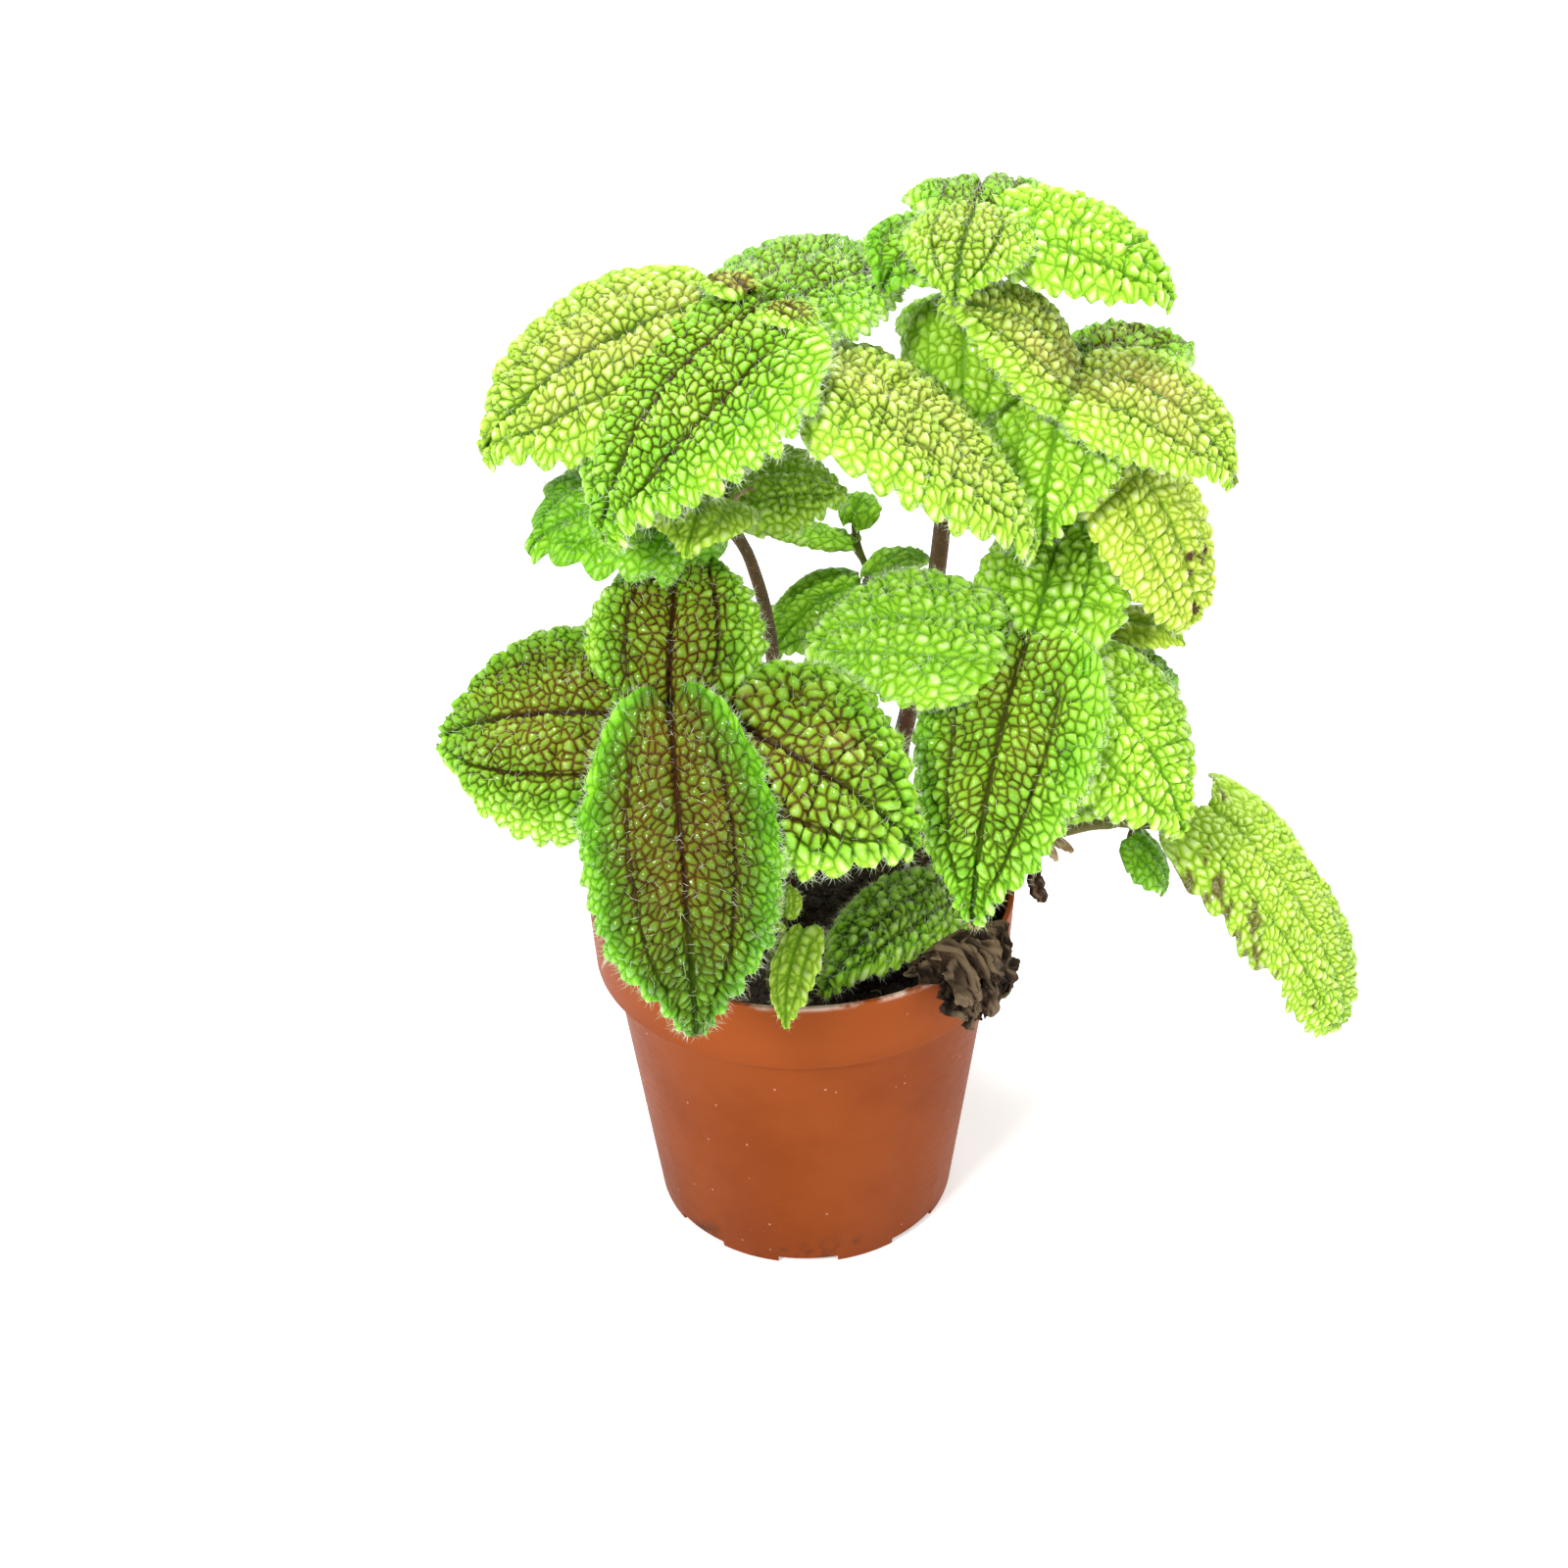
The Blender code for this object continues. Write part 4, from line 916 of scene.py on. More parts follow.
budRule = {
    "scales": 5,
    "size": 1.5,              # as a share of the stem's radius; the rest are shares of this
    "shrink": 0.08,           # from scale to scale
    "foot": 0.25,             # how far each scale stands out, at its foot and its tip
    "tip": 0.55,
    "height": 2.3,
    "width": 1.7,
    "curl": 0.28,
    "turn": (2.4, 0.6),       # from scale to scale, and of the first one
    "detail": 1.6,
}
stemGreen = {"stem_left": (0.0, 0.25), "stem_tall": (0.0, 0.25), "stem_front": (0.0, 0.25),
             "stem_shoot": (0.4, 1.0)}
stemLook = {"cloudScale": 240.0, "grainScale": 1500.0, "turn": (0.3, 0.7), "dark": (0.075, 0.016, 0.014),
            "light": (0.165, 0.050, 0.034), "rough": (0.42, 0.62), "relief": (0.4, 0.0003), "specular": 0.22,
            "groove": (0.035, 0.010, 0.010), "green": (0.20, 0.27, 0.05)}
paperLook = {"cloudScale": 300.0, "grainScale": 1500.0, "turn": (0.3, 0.7), "dark": (0.30, 0.17, 0.08),
             "light": (0.66, 0.50, 0.28), "rough": (0.55, 0.8)}
# the withered leaf's fold colour is a painted highlight on the crests of the folds
witheredLook = {"cloudScale": 190.0, "grainScale": 1700.0, "turn": (0.35, 0.7), "dark": (0.012, 0.007, 0.004),
                "light": (0.060, 0.036, 0.020), "rough": (0.6, 0.9), "relief": (0.6, 0.0006),
                "specular": 0.12, "fold": (0.200, 0.140, 0.082), "speck": (0.26, 0.19, 0.13)}
leafOwner = {
    "stem_front": ("low_front", "low_back", "low_left", "low_right", "front_low"),
    "stem_mid": ("mid_front", "mid_left", "mid_back", "mid_right", "mid_under", "mid_small"),
    "stem_right": ("high_left", "high_right", "high_front", "high_back", "right_low", "right_back"),
    "stem_tall": ("top_front", "top_right", "top_back", "top_left", "tall_front", "tall_back", "tall_low",
                  "tall_shoot"),
    "stem_left": ("crown_front", "crown_left", "crown_back", "crown_right", "crown_young_left",
                  "crown_young_right", "inner_left", "inner_right", "inner_front", "inner_back"),
    "stem_twig": ("twig_left", "twig_top", "twig_down", "twig_right", "twig_back"),
    "stem_side": ("side_small", "side_far", "side_near", "on_soil"),
}
# dry scales at the joints: start, tip, width
flakeTable = {
    "stem_left": (((-16, -1, 190), (-23, -6, 192), 6), ((-14, -1, 192), (-9, -5, 197), 5),
                  ((-17, -2, 189), (-20, -5, 183), 5)),
    "stem_side": (((62, 5, 99.5), (67, 1, 97), 5), ((60, 5, 99), (63, 0, 95), 4)),
    "stem_mid": (((49, -18, 158), (45, -24, 156), 5), ((51, -18, 159), (56, -23, 156), 4)),
    "stem_front": (((-27, -43, 155), (-32, -47, 152), 5),),
}
# what is left of a stalk that hangs down outside the rim: places and radii in millimetres
stubPath = (((56.5, 5.2, 97.4), 0.5), ((57.5, 3.6, 92.5), 1.1), ((58.5, 3.2, 86), 1.7),
            ((60.5, 2.6, 81.5), 1.0))

stemBark = plainFinish("stemBark", stemLook, (
    (lambda tree: times(tree, attributeOf(tree, "ridge"), 0.45), stemLook["groove"]),
    (lambda tree: attributeOf(tree, "green"), stemLook["green"])))
paperyScale = plainFinish("paperyScale", paperLook)
# the fold layer lays a painted highlight on the fold crests
witheredFinish = plainFinish("witheredLeaf", witheredLook, (
    (lambda tree: spread(tree, attributeOf(tree, "fold"), 0.50, 0.98, 0.0, 0.85), witheredLook["fold"]),
    speckLayer(480.0, 0.2, 0.08, 0.5, witheredLook["speck"])))


def lineAndRadii(path, step):
    # a smooth line through a table's places, in metres, with its radii
    return smoothPath([np.array(p, float) * mm for p, r in path], [r * mm for p, r in path], step)


def smoothPath(points, radii, step):
    # a curve through the points, resampled at an even step
    points = np.asarray(points, float)
    padded = np.vstack([2 * points[0] - points[1], points, 2 * points[-1] - points[-2]])
    spots = []
    sizes = []
    for i in range(len(points) - 1):
        a, b, c, d = padded[i:i + 4]
        count = max(int(np.linalg.norm(c - b) / step), 2)
        for t in np.arange(count) / count:
            spots.append(0.5 * (2 * b + (c - a) * t + (2 * a - 5 * b + 4 * c - d) * t ** 2
                                + (3 * b - a - 3 * c + d) * t ** 3))
            sizes.append(radii[i] + (radii[i + 1] - radii[i]) * t)
    spots.append(points[-1])
    sizes.append(radii[-1])
    return np.array(spots), np.array(sizes)


def tubeRings(spots, sizes, sides, ridges, ridgeHeight):
    # a closed ridged tube round the line; also says which points lie in a groove
    along = unit(np.gradient(spots, axis=0))
    side = unit(np.cross(along[0], np.array((0.3, 0.9, 0.2))))
    rings = []
    turn = np.linspace(0, 2 * np.pi, sides, endpoint=False)
    bulge = 1 + ridgeHeight * np.cos(ridges * turn)
    for spot, way, size in zip(spots, along, sizes):
        side = unit(side - way * side.dot(way))
        other = np.cross(way, side)
        ring = spot + size * bulge[:, None] * (np.cos(turn)[:, None] * side + np.sin(turn)[:, None] * other)
        rings.append(ring)
    count = len(spots)
    faces = ringFaces(0, count - 1, sides)
    faces.append(tuple(range(sides - 1, -1, -1)))
    faces.append(tuple(range((count - 1) * sides, count * sides)))
    return np.vstack(rings), faces, np.tile(bulge < 1 - 0.4 * ridgeHeight, count).astype(float)


def stemTube(name, spots, sizes, sides, greenFrom, greenTo):
    points, faces, ridge = tubeRings(spots, sizes, sides, stemRule["ridges"], stemRule["ridgeHeight"])
    piece = meshPiece(name, points, faces, [stemBark, leafHair])
    green = np.repeat(np.linspace(greenFrom, greenTo, len(spots)), sides)
    pointValues(piece.data, "green", np.clip(green, 0, 1))
    pointValues(piece.data, "ridge", ridge)
    pointValues(piece.data, "fuzz", np.full(len(points), 1.0))
    return piece


def nearestOnPath(path, spot):
    # the closest place on a stem, and the stem's radius there
    best = None
    for (p, r), (q, s) in zip(path[:-1], path[1:]):
        p = np.array(p, float)
        q = np.array(q, float)
        share = np.clip((spot - p) @ (q - p) / ((q - p) @ (q - p)), 0, 1)
        foot = p + (q - p) * share
        away = np.linalg.norm(foot - spot)
        if best is None or away < best[0]:
            best = (away, foot, r + (s - r) * share)
    return best[1], best[2]


def stalkTube(name, leaf, path):
    # a leaf's stalk, from inside its stem to just under the blade
    rule = stalkRule
    base = np.array(leaf.base, float)
    below = base - np.array((0, 0, rule["drop"] * np.linalg.norm(base - np.array(leaf.tip, float))))
    start, radius = nearestOnPath(path, base + (below - base) * rule["underLeaf"])
    axes = bladeAxes(leaf)
    along = unit(axes[1] - axes[0])
    end = bladeSpot(leaf, np.array([0.035]), np.array([0.0]), np.array([-rule["gap"]]))[0]
    neck = end - along * rule["neck"]
    start = start * mm
    most, share = rule["radius"]
    thick = min(most, share * radius) * mm
    bend = start + (neck - start) * 0.5 + np.array((0, 0, rule["arch"] * np.linalg.norm(neck - start)))
    onward = end + along * rule["onward"] + axes[3] * rule["rise"]
    spots, sizes = smoothPath((start, bend, neck, end, onward), [thick * part for part in rule["taper"]],
                              rule["step"])
    return stemTube(name, spots, sizes, rule["sides"], *rule["green"])


def budTuft(name, centre, radius):
    # a bud: small curled scales closing over each other
    rule = budRule
    pieces = []
    for k in range(rule["scales"]):
        turn = rule["turn"][0] * k + rule["turn"][1]
        size = radius * (1.0 - rule["shrink"] * k)
        out = np.array((math.cos(turn), math.sin(turn), 0))
        foot = np.array(centre) + out * rule["foot"] * size
        top = np.array(centre) + out * rule["tip"] * size + np.array((0, 0, rule["height"] * size))
        width, bow = rule["width"] * size, -rule["curl"] * size
        leaf = leafPlan(tuple(foot), tuple(top), width, bow, 60, 0, 5, "young")
        pieces.append(growLeaf("%s_scale_%d" % (name, k), leaf, rule["detail"]))
    return pieces


def paperFlake(name, start, tip, width):
    leaf = leafPlan(start, tip, width, 0.8, 70, 0, 4, "tender", 0.45, 0.6)
    piece = bladeSheet(name, leaf, bladeRule["detail"])[0]
    piece.data.materials.clear()
    piece.data.materials.append(paperyScale)
    addWall(piece, stemRule["flakeThickness"], -1.0)
    return settled(piece)


def driedStub():
    spots, sizes = lineAndRadii(stubPath, 0.7 * mm)
    wobble = np.sin(np.arange(len(spots)) * 1.3)[:, None] * np.array((0.5, 0.3, 0.0)) * mm
    points, faces, ridge = tubeRings(spots + wobble, sizes, 18, 4, 0.38)
    piece = meshPiece("driedStub", points, faces, [witheredFinish])
    # the stub's ridges get more of the painted fold highlight
    pointValues(piece.data, "fold", 0.4 + 0.5 * ridge)
    return piece


def stemLine(name, path):
    # the stem's middle line and radii, thicker in the soil and at each leaf's joint
    rule = stemRule
    spots, sizes = lineAndRadii(path, rule["step"])
    sizes = sizes * (1 + rule["footSwelling"] * smooth(100 * mm, 74 * mm, spots[:, 2]))
    for short in leafOwner.get(name, ()):
        leaf = leafTable["leaf_" + short]
        drop = 0.16 * np.linalg.norm(np.subtract(leaf.base, leaf.tip))
        joint = nearestOnPath(path, np.array(leaf.base, float) - np.array((0, 0, drop)))[0] * mm
        away = np.linalg.norm(spots - joint, axis=1)
        sizes = sizes * (1 + rule["nodeSwelling"] * np.exp(-(away / rule["nodeReach"]) ** 2))
    return spots, sizes


def dressStems():
    rule = stemRule
    for name, path in stemTable.items():
        spots, sizes = stemLine(name, path)
        green = stemGreen.get(name, rule["usualGreen"])
        pieces = [stemTube(name + "_stalk", spots, sizes, rule["sides"], *green)]
        own = {short: leafTable["leaf_" + short] for short in leafOwner.get(name, ())}
        if name == "stem_shoot":
            own = shootTable
        pieces += [stalkTube(name + "_to_" + short, leaf, path) for short, leaf in own.items()]
        for piece in pieces:
            useTree(piece, hairTree, {
                "hairsPerSquareMetre": hairRule["perSquareMetre"], "hairLength": rule["hairLength"],
                "hairRadius": rule["hairRadius"], "lean": rule["hairLean"], "hairSeed": 11,
                "hairSkin": leafHair})
            settled(piece)
        if name == "stem_shoot":
            pieces += [growLeaf(short, leaf, rule["shootDetail"]) for short, leaf in shootTable.items()]
        elif name != "stem_side":
            pieces += budTuft(name + "_bud", path[-1][0], path[-1][1] * budRule["size"])
        for k, flake in enumerate(flakeTable.get(name, ())):
            pieces.append(paperFlake("%s_flake_%d" % (name, k), *flake))
        if name == "stem_side":
            pieces.append(driedStub())
        whole = joinMeshes(name + "_grown", pieces)
        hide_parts(name)
        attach(whole, "root")
    print("stems grown:", len(stemTable))


dressLeaves()
dressStems()


# pot

potSize = {
    "rimRadius": 52.5 * mm,
    "rimTop": 91.0 * mm,
    "bandFoot": 73.0 * mm,
    "bodyRadius": 47.6 * mm,
    "footRadius": 38.5 * mm,
    "wall": 1.3 * mm,
    "floor": 1.6 * mm,
    "notches": 8,
    "notchWidth": 15.0 * mm,
    "notchHeight": 2.0 * mm,
    "drains": 4,
    "drainRadius": 4 * mm,
    "drainRing": 24 * mm,
    "sides": 160,
}
potLook = {
    "dark": (0.220, 0.043, 0.006),
    "light": (0.268, 0.057, 0.010),
    "scuff": (0.50, 0.20, 0.09),
    "speck": (0.80, 0.55, 0.42),
    # painted light: the band under the rim is lighter than the body
    "band": (0.330, 0.072, 0.014),
    "lime": (0.80, 0.66, 0.55),      # chalky line on the rim's front
    "earth": (0.07, 0.03, 0.015),    # dirt round the foot
    "bandHeights": (0.070, 0.080),        # where the band's painted light sets in, in metres
    "limeHeights": (0.0895, 0.0912),
    "limeDepths": (-0.020, -0.045),       # the chalky line fades out towards the back
    "earthHeights": (0.012, 0.001),
    "rough": (0.42, 0.62),
    "specular": 0.05,
}


def roundCorner(before, corner, after, radius, count=5):
    # replaces a profile corner by a small arc
    before, corner, after = (np.array(p, float) for p in (before, corner, after))
    a = corner + unit(before - corner) * radius
    b = corner + unit(after - corner) * radius
    t = np.linspace(0, 1, count)[:, None]
    return [tuple(p) for p in a * (1 - t) ** 2 + corner * 2 * t * (1 - t) + b * t ** 2]


def ringSpots(radius, sides):
    turns = [2 * math.pi * i / sides for i in range(sides)]
    return [(radius * math.cos(turn), radius * math.sin(turn)) for turn in turns]


def lathePiece(name, profile, sides, materials):
    # turns a profile of radius and height; a radius of 0 closes it with one point
    points = []
    faces = []
    rows = []
    for radius, height in profile:
        if radius < 1e-7:
            rows.append([len(points)])
            points.append((0, 0, height))
            continue
        rows.append(list(range(len(points), len(points) + sides)))
        points += [(x, y, height) for x, y in ringSpots(radius, sides)]
    for low, high in zip(rows[:-1], rows[1:]):
        for i in range(sides):
            j = (i + 1) % sides
            if len(low) == 1:
                faces.append((low[0], high[j], high[i]))
            elif len(high) == 1:
                faces.append((low[i], low[j], high[0]))
            else:
                faces.append((low[i], low[j], high[j], high[i]))
    return meshPiece(name, points, faces, materials)


def makePotFinish():
    # warm plastic: cloudy, lightly scuffed, with specks, a band under the rim painted lighter as painted
    # light, lime at the rim and earth at the foot
    material, tree, shader = newFinish("terracottaPlastic")
    look = potLook
    mottle = groupNode(tree, mottleGroup, {"cloudScale": 28.0, "grainScale": 1400.0})
    place = tree.nodes.new("ShaderNodeTexCoord").outputs["Object"]
    split = addNode(tree, "ShaderNodeSeparateXYZ", {}, {}, {"Vector": place})
    skin = blendColour(tree, spread(tree, mottle.outputs["cloud"], 0.3, 0.7), look["dark"], look["light"])
    streak = addNode(tree, "ShaderNodeMapping", {}, {"Scale": (1.0, 1.0, 9.0)}, {"Vector": place})
    scuff = addNode(tree, "ShaderNodeTexNoise", {}, {"Scale": 240.0, "Detail": 4.0, "Roughness": 0.75},
                    {"Vector": streak.outputs[0]})
    skin = blendColour(tree, spread(tree, scuff.outputs[0], 0.62, 0.78, 0.0, 0.35), skin, look["scuff"])
    mask, colour = speckLayer(420.0, 0.13, 0.05, 0.35, look["speck"])
    skin = blendColour(tree, mask(tree), skin, colour)
    height = split.outputs["Z"]
    # painted light: the band from 70 mm up is painted lighter than the body
    skin = blendColour(tree, spread(tree, height, *look["bandHeights"], 0.0, 0.6), skin, look["band"])
    chalk = addNode(tree, "ShaderNodeTexNoise", {}, {"Scale": 95.0, "Detail": 5.0, "Roughness": 0.7},
                    {"Vector": place})
    lime = times(tree, spread(tree, height, *look["limeHeights"]), spread(tree, chalk.outputs[0], 0.42, 0.62))
    lime = times(tree, lime, spread(tree, split.outputs["Y"], *look["limeDepths"]))
    skin = blendColour(tree, times(tree, lime, 0.75), skin, look["lime"])
    earth = times(tree, spread(tree, height, *look["earthHeights"]),
                  spread(tree, chalk.outputs[0], 0.52, 0.66))
    skin = blendColour(tree, times(tree, earth, 0.8), skin, look["earth"])
    tree.links.new(skin, shader.inputs["Base Color"])
    tree.links.new(spread(tree, scuff.outputs[0], 0.4, 0.75, *look["rough"]), shader.inputs["Roughness"])
    fine = bumpFrom(tree, mottle.outputs["grain"], 0.12, 0.0002)
    tree.links.new(bumpFrom(tree, scuff.outputs[0], 0.10, 0.0003, fine), shader.inputs["Normal"])
    shader.inputs["Specular IOR Level"].default_value = look["specular"]
    return material


def potCutters(finish):
    # wide cutters for the notches in the foot's edge, round ones for the drain holes
    s = potSize
    cutters = []

    def drum(name, radius, top, sides):
        below = -1 * mm
        return lathePiece(name, ((0, below), (radius, below), (radius, top), (0, top)), sides, [finish])

    for i in range(s["notches"]):
        turn = 2 * math.pi * i / s["notches"] + math.pi / 2
        box = drum("notchCut_%d" % i, s["notchWidth"] / 2, s["notchHeight"], 4)
        box.data.transform(Matrix.Rotation(math.pi / 4, 4, "Z"))
        box.data.transform(Matrix.Diagonal((0.75, 1.414, 1, 1)))
        place = Matrix.Translation((s["footRadius"] - 1.5 * mm, 0, 0))
        box.data.transform(Matrix.Rotation(turn, 4, "Z") @ place)
        cutters.append(box)
    for i in range(s["drains"]):
        turn = 2 * math.pi * (i + 0.5) / s["drains"]
        hole = drum("drainCut_%d" % i, s["drainRadius"], 4 * mm, 24)
        place = (s["drainRing"] * math.cos(turn), s["drainRing"] * math.sin(turn), 0)
        hole.data.transform(Matrix.Translation(place))
        cutters.append(hole)
    return cutters


def dressPot():
    s = potSize
    # profile from the middle of the foot up the outside and down the inside, with each corner's softness
    corners = (
        (0.0, 0.0, 0), (s["footRadius"], 0.0, 0.8 * mm), (s["bodyRadius"], s["bandFoot"], 0.5 * mm),
        (s["rimRadius"] - 0.9 * mm, s["bandFoot"], 0.5 * mm), (s["rimRadius"], s["rimTop"], 0.55 * mm),
        (s["rimRadius"] - s["wall"], s["rimTop"], 0.5 * mm),
        (s["rimRadius"] - 2.1 * mm, s["bandFoot"] + 1.4 * mm, 0.6 * mm),
        (s["bodyRadius"] - s["wall"], s["bandFoot"] - 0.6 * mm, 0.6 * mm),
        (s["footRadius"] - s["wall"], s["floor"], 1.0 * mm), (0.0, s["floor"], 0))
    profile = [corners[0][:2]]
    for before, corner, after in zip(corners[:-2], corners[1:-1], corners[2:]):
        profile += roundCorner(before[:2], corner[:2], after[:2], corner[2])
    profile.append(corners[-1][:2])
    finish = makePotFinish()
    pot = lathePiece("potShell", profile, s["sides"], [finish])
    cutters = potCutters(finish)
    group = bpy.data.collections.new("potCutters")
    bpy.context.scene.collection.children.link(group)
    for cutter in cutters:
        bpy.context.scene.collection.objects.unlink(cutter)
        group.objects.link(cutter)
    cut = pot.modifiers.new("drains", "BOOLEAN")
    cut.operand_type = "COLLECTION"
    cut.collection = group
    cut.operation = "DIFFERENCE"
    settled(pot)
    for cutter in cutters:
        bpy.data.objects.remove(cutter, do_unlink=True)
    bpy.data.collections.remove(group)
    pot.data.set_sharp_from_angle(angle=math.radians(40))
    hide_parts("pot")
    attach(pot, "root")
    print("pot turned")


dressPot()


# soil

soilRule = {
    "radius": 50.0 * mm,
    "level": 81.0 * mm,
    "lump": 1.3 * mm,
    "sides": 120,
    "rings": 40,
    "roughness": 0.35,     # mm that a point is moved up or down
    "wall": ((49.6 * mm, 74.4 * mm), (45.8 * mm, 72.6 * mm), (36.7 * mm, 2.5 * mm)),
    "crumbs": 2300,
    "crumbSize": 1.15 * mm,
    "straws": 46,
    "strawReach": 49 * mm,
    "strawLength": (3.0, 9.0),
    "strawSize": (0.12, 0.32),
}
soilLook = {"cloudScale": 420.0, "grainScale": 1800.0, "turn": (0.3, 0.7), "dark": (0.010, 0.006, 0.004),
            "light": (0.055, 0.034, 0.022), "rough": (0.75, 0.98), "relief": (0.7, 0.0006),
            "speck": (0.22, 0.15, 0.10)}
strawLook = {"cloudScale": 500.0, "grainScale": 1500.0, "turn": (0.3, 0.7), "dark": (0.20, 0.13, 0.07),
             "light": (0.42, 0.32, 0.20), "rough": (0.6, 0.85)}


def soilHeight(x, y):
    # the soil's rolling surface, from a place in millimetres
    wave = np.sin(0.31 * x + 1.2) * np.cos(0.27 * y) + 0.7 * np.sin(0.53 * x - 0.47 * y + 0.8)
    wave = wave + 0.5 * np.cos(0.83 * y + 0.35 * x)
    return soilRule["level"] + soilRule["lump"] * 0.6 * wave


def makeCrumbTree():
    # scatters crumbs over the soil's top
    tree, start, end = newTree("scatterCrumbs", "GeometryNodeTree", {
        "Geometry": ("Geometry", None), "crumbsPerSquareMetre": ("Float", 300000.0),
        "crumbSize": ("Float", 0.001), "crumbSeed": ("Int", 5), "crumbSkin": ("Material", None)},
        {"Geometry": "Geometry"})
    density = times(tree, namedValue(tree, "top"), start.outputs["crumbsPerSquareMetre"])
    dots = addNode(tree, "GeometryNodeDistributePointsOnFaces", {"distribute_method": "RANDOM"}, {}, {
        "Mesh": start.outputs["Geometry"], "Density": density, "Seed": start.outputs["crumbSeed"]})
    lump = addNode(tree, "GeometryNodeMeshIcoSphere", {}, {"Radius": 1.0, "Subdivisions": 1})
    turn = randomValue(tree, (0.0, 0.0, 0.0), (6.28, 6.28, 6.28))
    size = randomValue(tree, (0.25, 0.25, 0.2), (1.5, 1.2, 0.9))
    scaled = addNode(tree, "ShaderNodeVectorMath", {"operation": "SCALE"}, {}, {
        0: size, "Scale": start.outputs["crumbSize"]})
    crumbs = addNode(tree, "GeometryNodeInstanceOnPoints", {}, {}, {
        "Points": dots.outputs["Points"], "Instance": lump.outputs["Mesh"],
        "Rotation": turn, "Scale": scaled.outputs[0]})
    both = joined(tree, crumbs.outputs[0], start.outputs["Geometry"])
    tree.links.new(realAndPainted(tree, both, start.outputs["crumbSkin"]), end.inputs["Geometry"])
    return tree


def soilBody(draw, finish):
    # rolling top, a wall that follows the pot's inside with room to spare, and a flat foot
    rule = soilRule
    sides, rings, wall = rule["sides"], rule["rings"], rule["wall"]
    points = [(0, 0, float(soilHeight(0, 0)))]
    for k in range(1, rings + 1):
        for x, y in ringSpots(rule["radius"] * k / rings, sides):
            rough = draw.uniform(-rule["roughness"], rule["roughness"]) * mm if k < rings else 0
            points.append((x, y, float(soilHeight(x / mm, y / mm)) + rough))
    for radius, height in wall:
        points += [(x, y, height) for x, y in ringSpots(radius, sides)]
    foot = len(points) - sides
    points.append((0, 0, wall[-1][1]))
    faces = [(0, 1 + i, 1 + (i + 1) % sides) for i in range(sides)]
    faces += ringFaces(1, rings - 1 + len(wall), sides, flip=True)
    faces += [(foot + (i + 1) % sides, foot + i, len(points) - 1) for i in range(sides)]
    soil = meshPiece("soilBody", points, faces, [finish], shadeSmooth=False)
    top = np.zeros(len(points))
    top[:1 + (rings - 1) * sides] = 1.0
    pointValues(soil.data, "top", top)
    return soil


def strawPiece(draw, name, finish):
    # one dry root or straw that lies on the soil
    rule = soilRule
    radius = rule["radius"] * math.sqrt(draw.uniform(0.02, 0.86))
    turn = draw.uniform(0, 2 * math.pi)
    x = radius * math.cos(turn)
    y = radius * math.sin(turn)
    heading = draw.uniform(0, 2 * math.pi)
    length = draw.uniform(*rule["strawLength"]) * mm
    way = np.array((math.cos(heading), math.sin(heading), 0))
    start = np.array((x, y, float(soilHeight(x / mm, y / mm)) + 0.7 * mm))
    middle = start + way * length * 0.5 + np.array((*draw.uniform(-1, 1, 2) * mm, 0.8 * mm))
    end = start + way * length + np.array((*draw.uniform(-1, 1, 2) * mm, -0.4 * mm))
    for spot in (middle, end):
        away = math.hypot(spot[0], spot[1])
        if away > rule["strawReach"]:
            spot[:2] *= rule["strawReach"] / away
    size = draw.uniform(*rule["strawSize"]) * mm
    spots, sizes = smoothPath((start, middle, end), (size, size, size * 0.6), 1.2 * mm)
    points, faces = tubeRings(spots, sizes, 5, 3, 0.15)[:2]
    return meshPiece(name, points, faces, [finish])


def dressSoil():
    rule = soilRule
    draw = np.random.default_rng(8)
    specks = speckLayer(520.0, 0.22, 0.06, 0.6, soilLook["speck"])
    soilFinish = plainFinish("pottingSoil", soilLook, (specks,))
    strawFinish = plainFinish("driedRoots", strawLook)
    soil = soilBody(draw, soilFinish)
    useTree(soil, makeCrumbTree(), {
        "crumbsPerSquareMetre": rule["crumbs"] / (math.pi * rule["radius"] ** 2),
        "crumbSize": rule["crumbSize"], "crumbSeed": 5, "crumbSkin": soilFinish})
    pieces = [settled(soil)]
    pieces += [strawPiece(draw, "straw_%d" % k, strawFinish) for k in range(rule["straws"])]
    soil = joinMeshes("soilWithCrumbs", pieces)
    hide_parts("soil")
    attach(soil, "root")
    print("soil filled")


dressSoil()


# dead leaf on the rim

# the path says how far from the pot's axis and how high, in millimetres
deadLeaf = {
    "facing": -46,          # degrees from the right, seen from above
    "halfWidth": 14.0 * mm,
    "path": ((45.5, 90.2), (48.5, 92.6), (52.5, 93.8), (56.2, 91.8), (57.8, 87.0), (57.2, 81.5)),
    "columns": 110,
    "rows": 80,
    "thickness": 0.35 * mm,
    "crinkle": 0.9 * mm,
    "folds": ((5.0, 2.4, 2), (15.0, 1.3, 2), (34.0, 0.80, 1)),    # pace, height, sharpness
    "warp": (4.0, 0.22),    # pace and reach of the waves that bend the folds
    "deepest": 3.4,         # fold height that gets the full painted highlight
    "over": (0.62, -1.5 * mm, 1.6 * mm),    # the upper sheet's width as a share, its shift and its rise
}


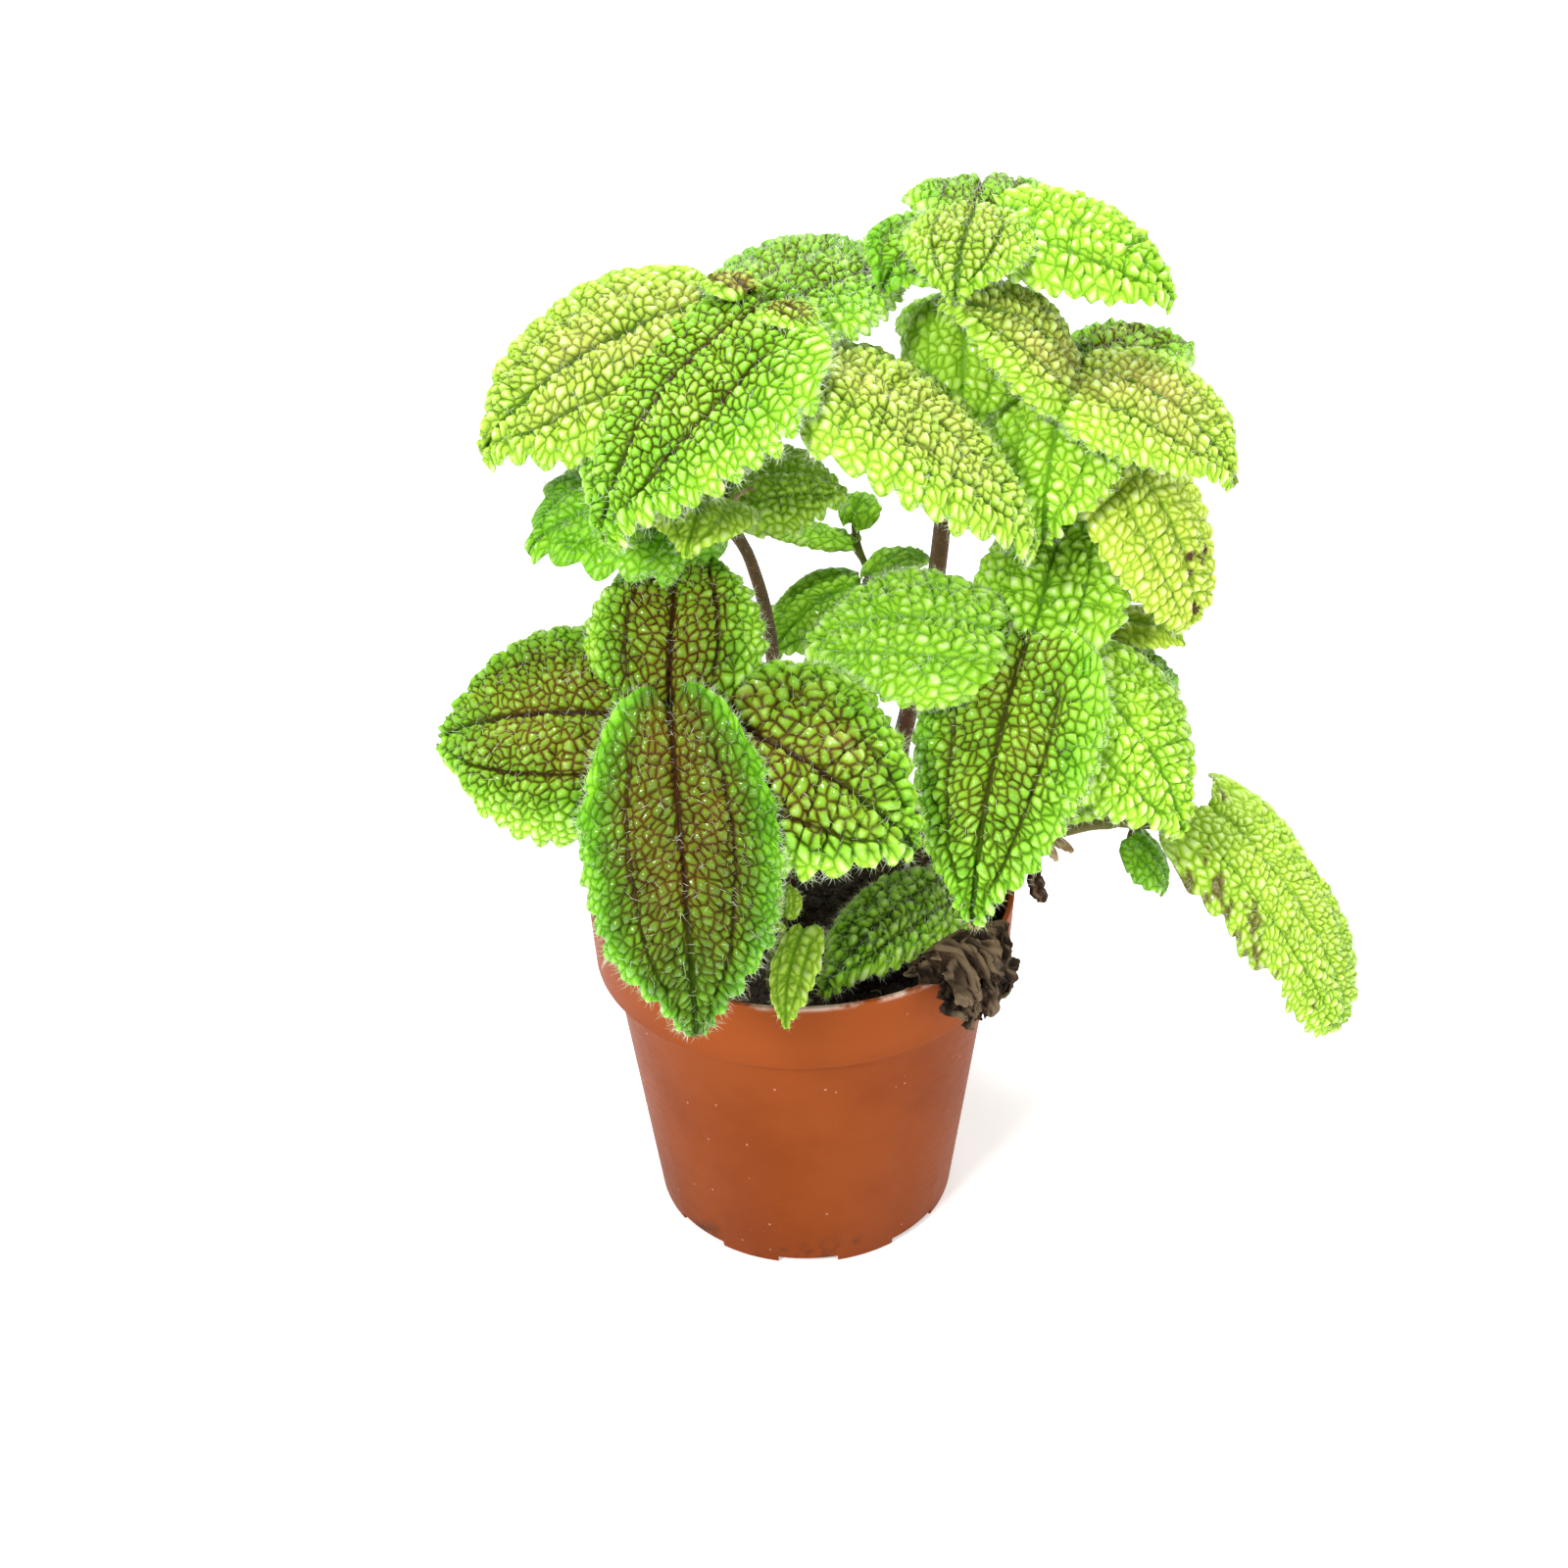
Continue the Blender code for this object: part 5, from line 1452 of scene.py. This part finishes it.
def crumpledSheet(name, finish, wide, shift, rise, phase):
    # one crinkled sheet bent over the rim, with torn edges
    rule = deadLeaf
    facing = math.radians(rule["facing"])
    outwards = np.array((math.cos(facing), math.sin(facing), 0))
    sidewards = np.array((-math.sin(facing), math.cos(facing), 0))
    path = np.array([(r, 0, z) for r, z in rule["path"]]) * mm
    line = smoothPath(path, [1.0] * len(path), 0.25 * mm)[0]
    way = unit(np.gradient(line, axis=0))
    out = np.stack([-way[:, 2], way[:, 1], way[:, 0]], -1)
    rows, columns = rule["rows"], rule["columns"]
    t, s = np.meshgrid(np.linspace(0, 1, rows), np.linspace(-1, 1, columns), indexing="ij")
    torn = 0.05 * np.sin(9 * s + phase) + 0.035 * np.sin(23 * s + 2 * phase) + 0.02 * np.sin(51 * s)
    place = np.clip(t * (1 - 0.06) + torn * t ** 2 + 0.02, 0, 1) * (len(line) - 1)
    low = np.minimum(place.astype(int), len(line) - 2)
    part = (place - low)[..., None]
    spot = line[low] * (1 - part) + line[low + 1] * part
    normal = unit(out[low] * (1 - part) + out[low + 1] * part)
    edge = 1 + 0.10 * np.sin(13 * t + 3 * np.sign(s) + phase) + 0.07 * np.sin(37 * t + phase * np.sign(s))
    reach = wide * (1 - 0.35 * (2 * t - 0.8) ** 2) * edge
    seed = int(phase * 10)
    pace, bend = rule["warp"]
    bendS = s + bend * wanderingNoise(s, t, pace, seed + 3)
    bendT = t * 1.2 + bend * wanderingNoise(s, t, pace, seed + 4)
    ridge = 0.0
    for k, (pace, height, sharpness) in enumerate(rule["folds"]):
        fold = (1 - np.abs(wanderingNoise(bendS, bendT, pace, seed + k))).clip(0)
        ridge = ridge + height * fold ** sharpness
    lift = rise + rule["crinkle"] * ridge * (0.35 + 0.65 * smooth(0.0, 0.35, t))
    sway = 0.8 * mm * np.sin(11 * t + 4 * s + phase)
    sideways = shift + s * reach + sway + 0.4 * mm * np.sin(29 * t + 13 * s)
    points = outwards * (spot[..., 0] + normal[..., 0] * lift)[..., None] + sidewards * sideways[..., None]
    points[..., 2] = spot[..., 2] + normal[..., 2] * lift
    piece = meshPiece(name, points.reshape(-1, 3), gridFaces(rows, columns, flip=True), [finish])
    # how high each point rides on a fold, which sets the painted highlight
    pointValues(piece.data, "fold", np.clip(ridge / rule["deepest"], 0, 1).ravel())
    addWall(piece, rule["thickness"], 1.0)
    return settled(piece)


def dressDeadLeaf():
    wide = deadLeaf["halfWidth"]
    share, shift, rise = deadLeaf["over"]
    under = crumpledSheet("witheredUnder", witheredFinish, wide, 0.0, 0.0, 0.7)
    over = crumpledSheet("witheredOver", witheredFinish, wide * share, shift, rise, 2.9)
    piece = joinMeshes("witheredLeafOnRim", [under, over])
    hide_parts("dead_leaf")
    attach(piece, "root")
    print("dead leaf laid on the rim")


dressDeadLeaf()


# studio

studio = {
    "floorColour": (0.93, 0.93, 0.925),
    "floorSize": 3.0,
    "floorGlow": (0.45, 1.1),        # near the pot and far from it
    "glowReach": (0.15, 1.2),        # metres
    "airGlow": 0.36,
    "aim": (0.02, 0.0, 0.15),        # where the panels point
    "cameraPlace": (0.0, -0.420, 0.369),
    "pitch": 30.8,                   # degrees downwards
    "yaw": -0.5,
    "roll": -1.34,
    "lens": 46.8,
    "sensor": 36.0,
    "lights": (    # name, place, size, power, colour
        ("keyPanel", (-0.60, -0.90, 0.95), 0.28, 13.0, (1.0, 0.99, 0.97)),
        ("fillPanel", (0.90, -0.60, 0.60), 0.60, 3.5, (0.98, 0.99, 1.0)),
        ("topPanel", (0.05, 0.10, 1.15), 0.25, 8.5, (1.0, 1.0, 1.0)),
        ("backPanel", (0.2, 0.95, 0.8), 0.8, 2.5, (1.0, 1.0, 1.0)),
    ),
}


def buildStudio():
    floorFinish, tree, shader = newFinish("paleFloor")
    shader.inputs["Base Color"].default_value = (*studio["floorColour"], 1.0)
    shader.inputs["Roughness"].default_value = 0.9
    shader.inputs["Emission Color"].default_value = (1.0, 1.0, 1.0, 1.0)
    place = tree.nodes.new("ShaderNodeTexCoord")
    away = addNode(tree, "ShaderNodeVectorMath", {"operation": "LENGTH"}, {}, {0: place.outputs["Object"]})
    glow = spread(tree, away.outputs["Value"], *studio["glowReach"], *studio["floorGlow"])
    tree.links.new(glow, shader.inputs["Emission Strength"])
    size = studio["floorSize"]
    corners = [(-size, -size, 0), (size, -size, 0), (size, size, 0), (-size, size, 0)]
    floor = meshPiece("studioFloor", corners, [(0, 1, 2, 3)], [floorFinish])
    world = bpy.data.worlds.new("studioAir")
    world.use_nodes = True
    air = world.node_tree.nodes["Background"]
    air.inputs["Color"].default_value = (1.0, 1.0, 1.0, 1.0)
    air.inputs["Strength"].default_value = studio["airGlow"]
    bpy.context.scene.world = world
    aim = Vector(studio["aim"])
    for name, place, size, power, colour in studio["lights"]:
        lamp = bpy.data.lights.new(name, "AREA")
        lamp.shape = "SQUARE"
        lamp.size = size
        lamp.energy = power
        lamp.color = colour
        holder = bpy.data.objects.new(name, lamp)
        holder.location = place
        holder.rotation_euler = (aim - Vector(place)).to_track_quat("-Z", "Y").to_euler()
        bpy.context.scene.collection.objects.link(holder)
    pitch, yaw, roll = (math.radians(studio[key]) for key in ("pitch", "yaw", "roll"))
    ahead = Vector((math.sin(yaw) * math.cos(pitch), math.cos(yaw) * math.cos(pitch), -math.sin(pitch)))
    right = Vector((math.cos(yaw), -math.sin(yaw), 0))
    up = right.cross(ahead)
    sideAxis = right * math.cos(roll) + up * math.sin(roll)
    upAxis = up * math.cos(roll) - right * math.sin(roll)
    turn = Matrix((sideAxis, upAxis, -ahead)).transposed()
    lens = bpy.data.cameras.new("viewOfThePhotograph")
    lens.lens = studio["lens"]
    lens.sensor_width = studio["sensor"]
    lens.clip_start = 0.01
    camera = bpy.data.objects.new("viewOfThePhotograph", lens)
    camera.matrix_world = Matrix.Translation(studio["cameraPlace"]) @ turn.to_4x4()
    bpy.context.scene.collection.objects.link(camera)
    bpy.context.scene.camera = camera
    bpy.context.scene.view_settings.view_transform = "Standard"
    print("studio and camera set")


buildStudio()
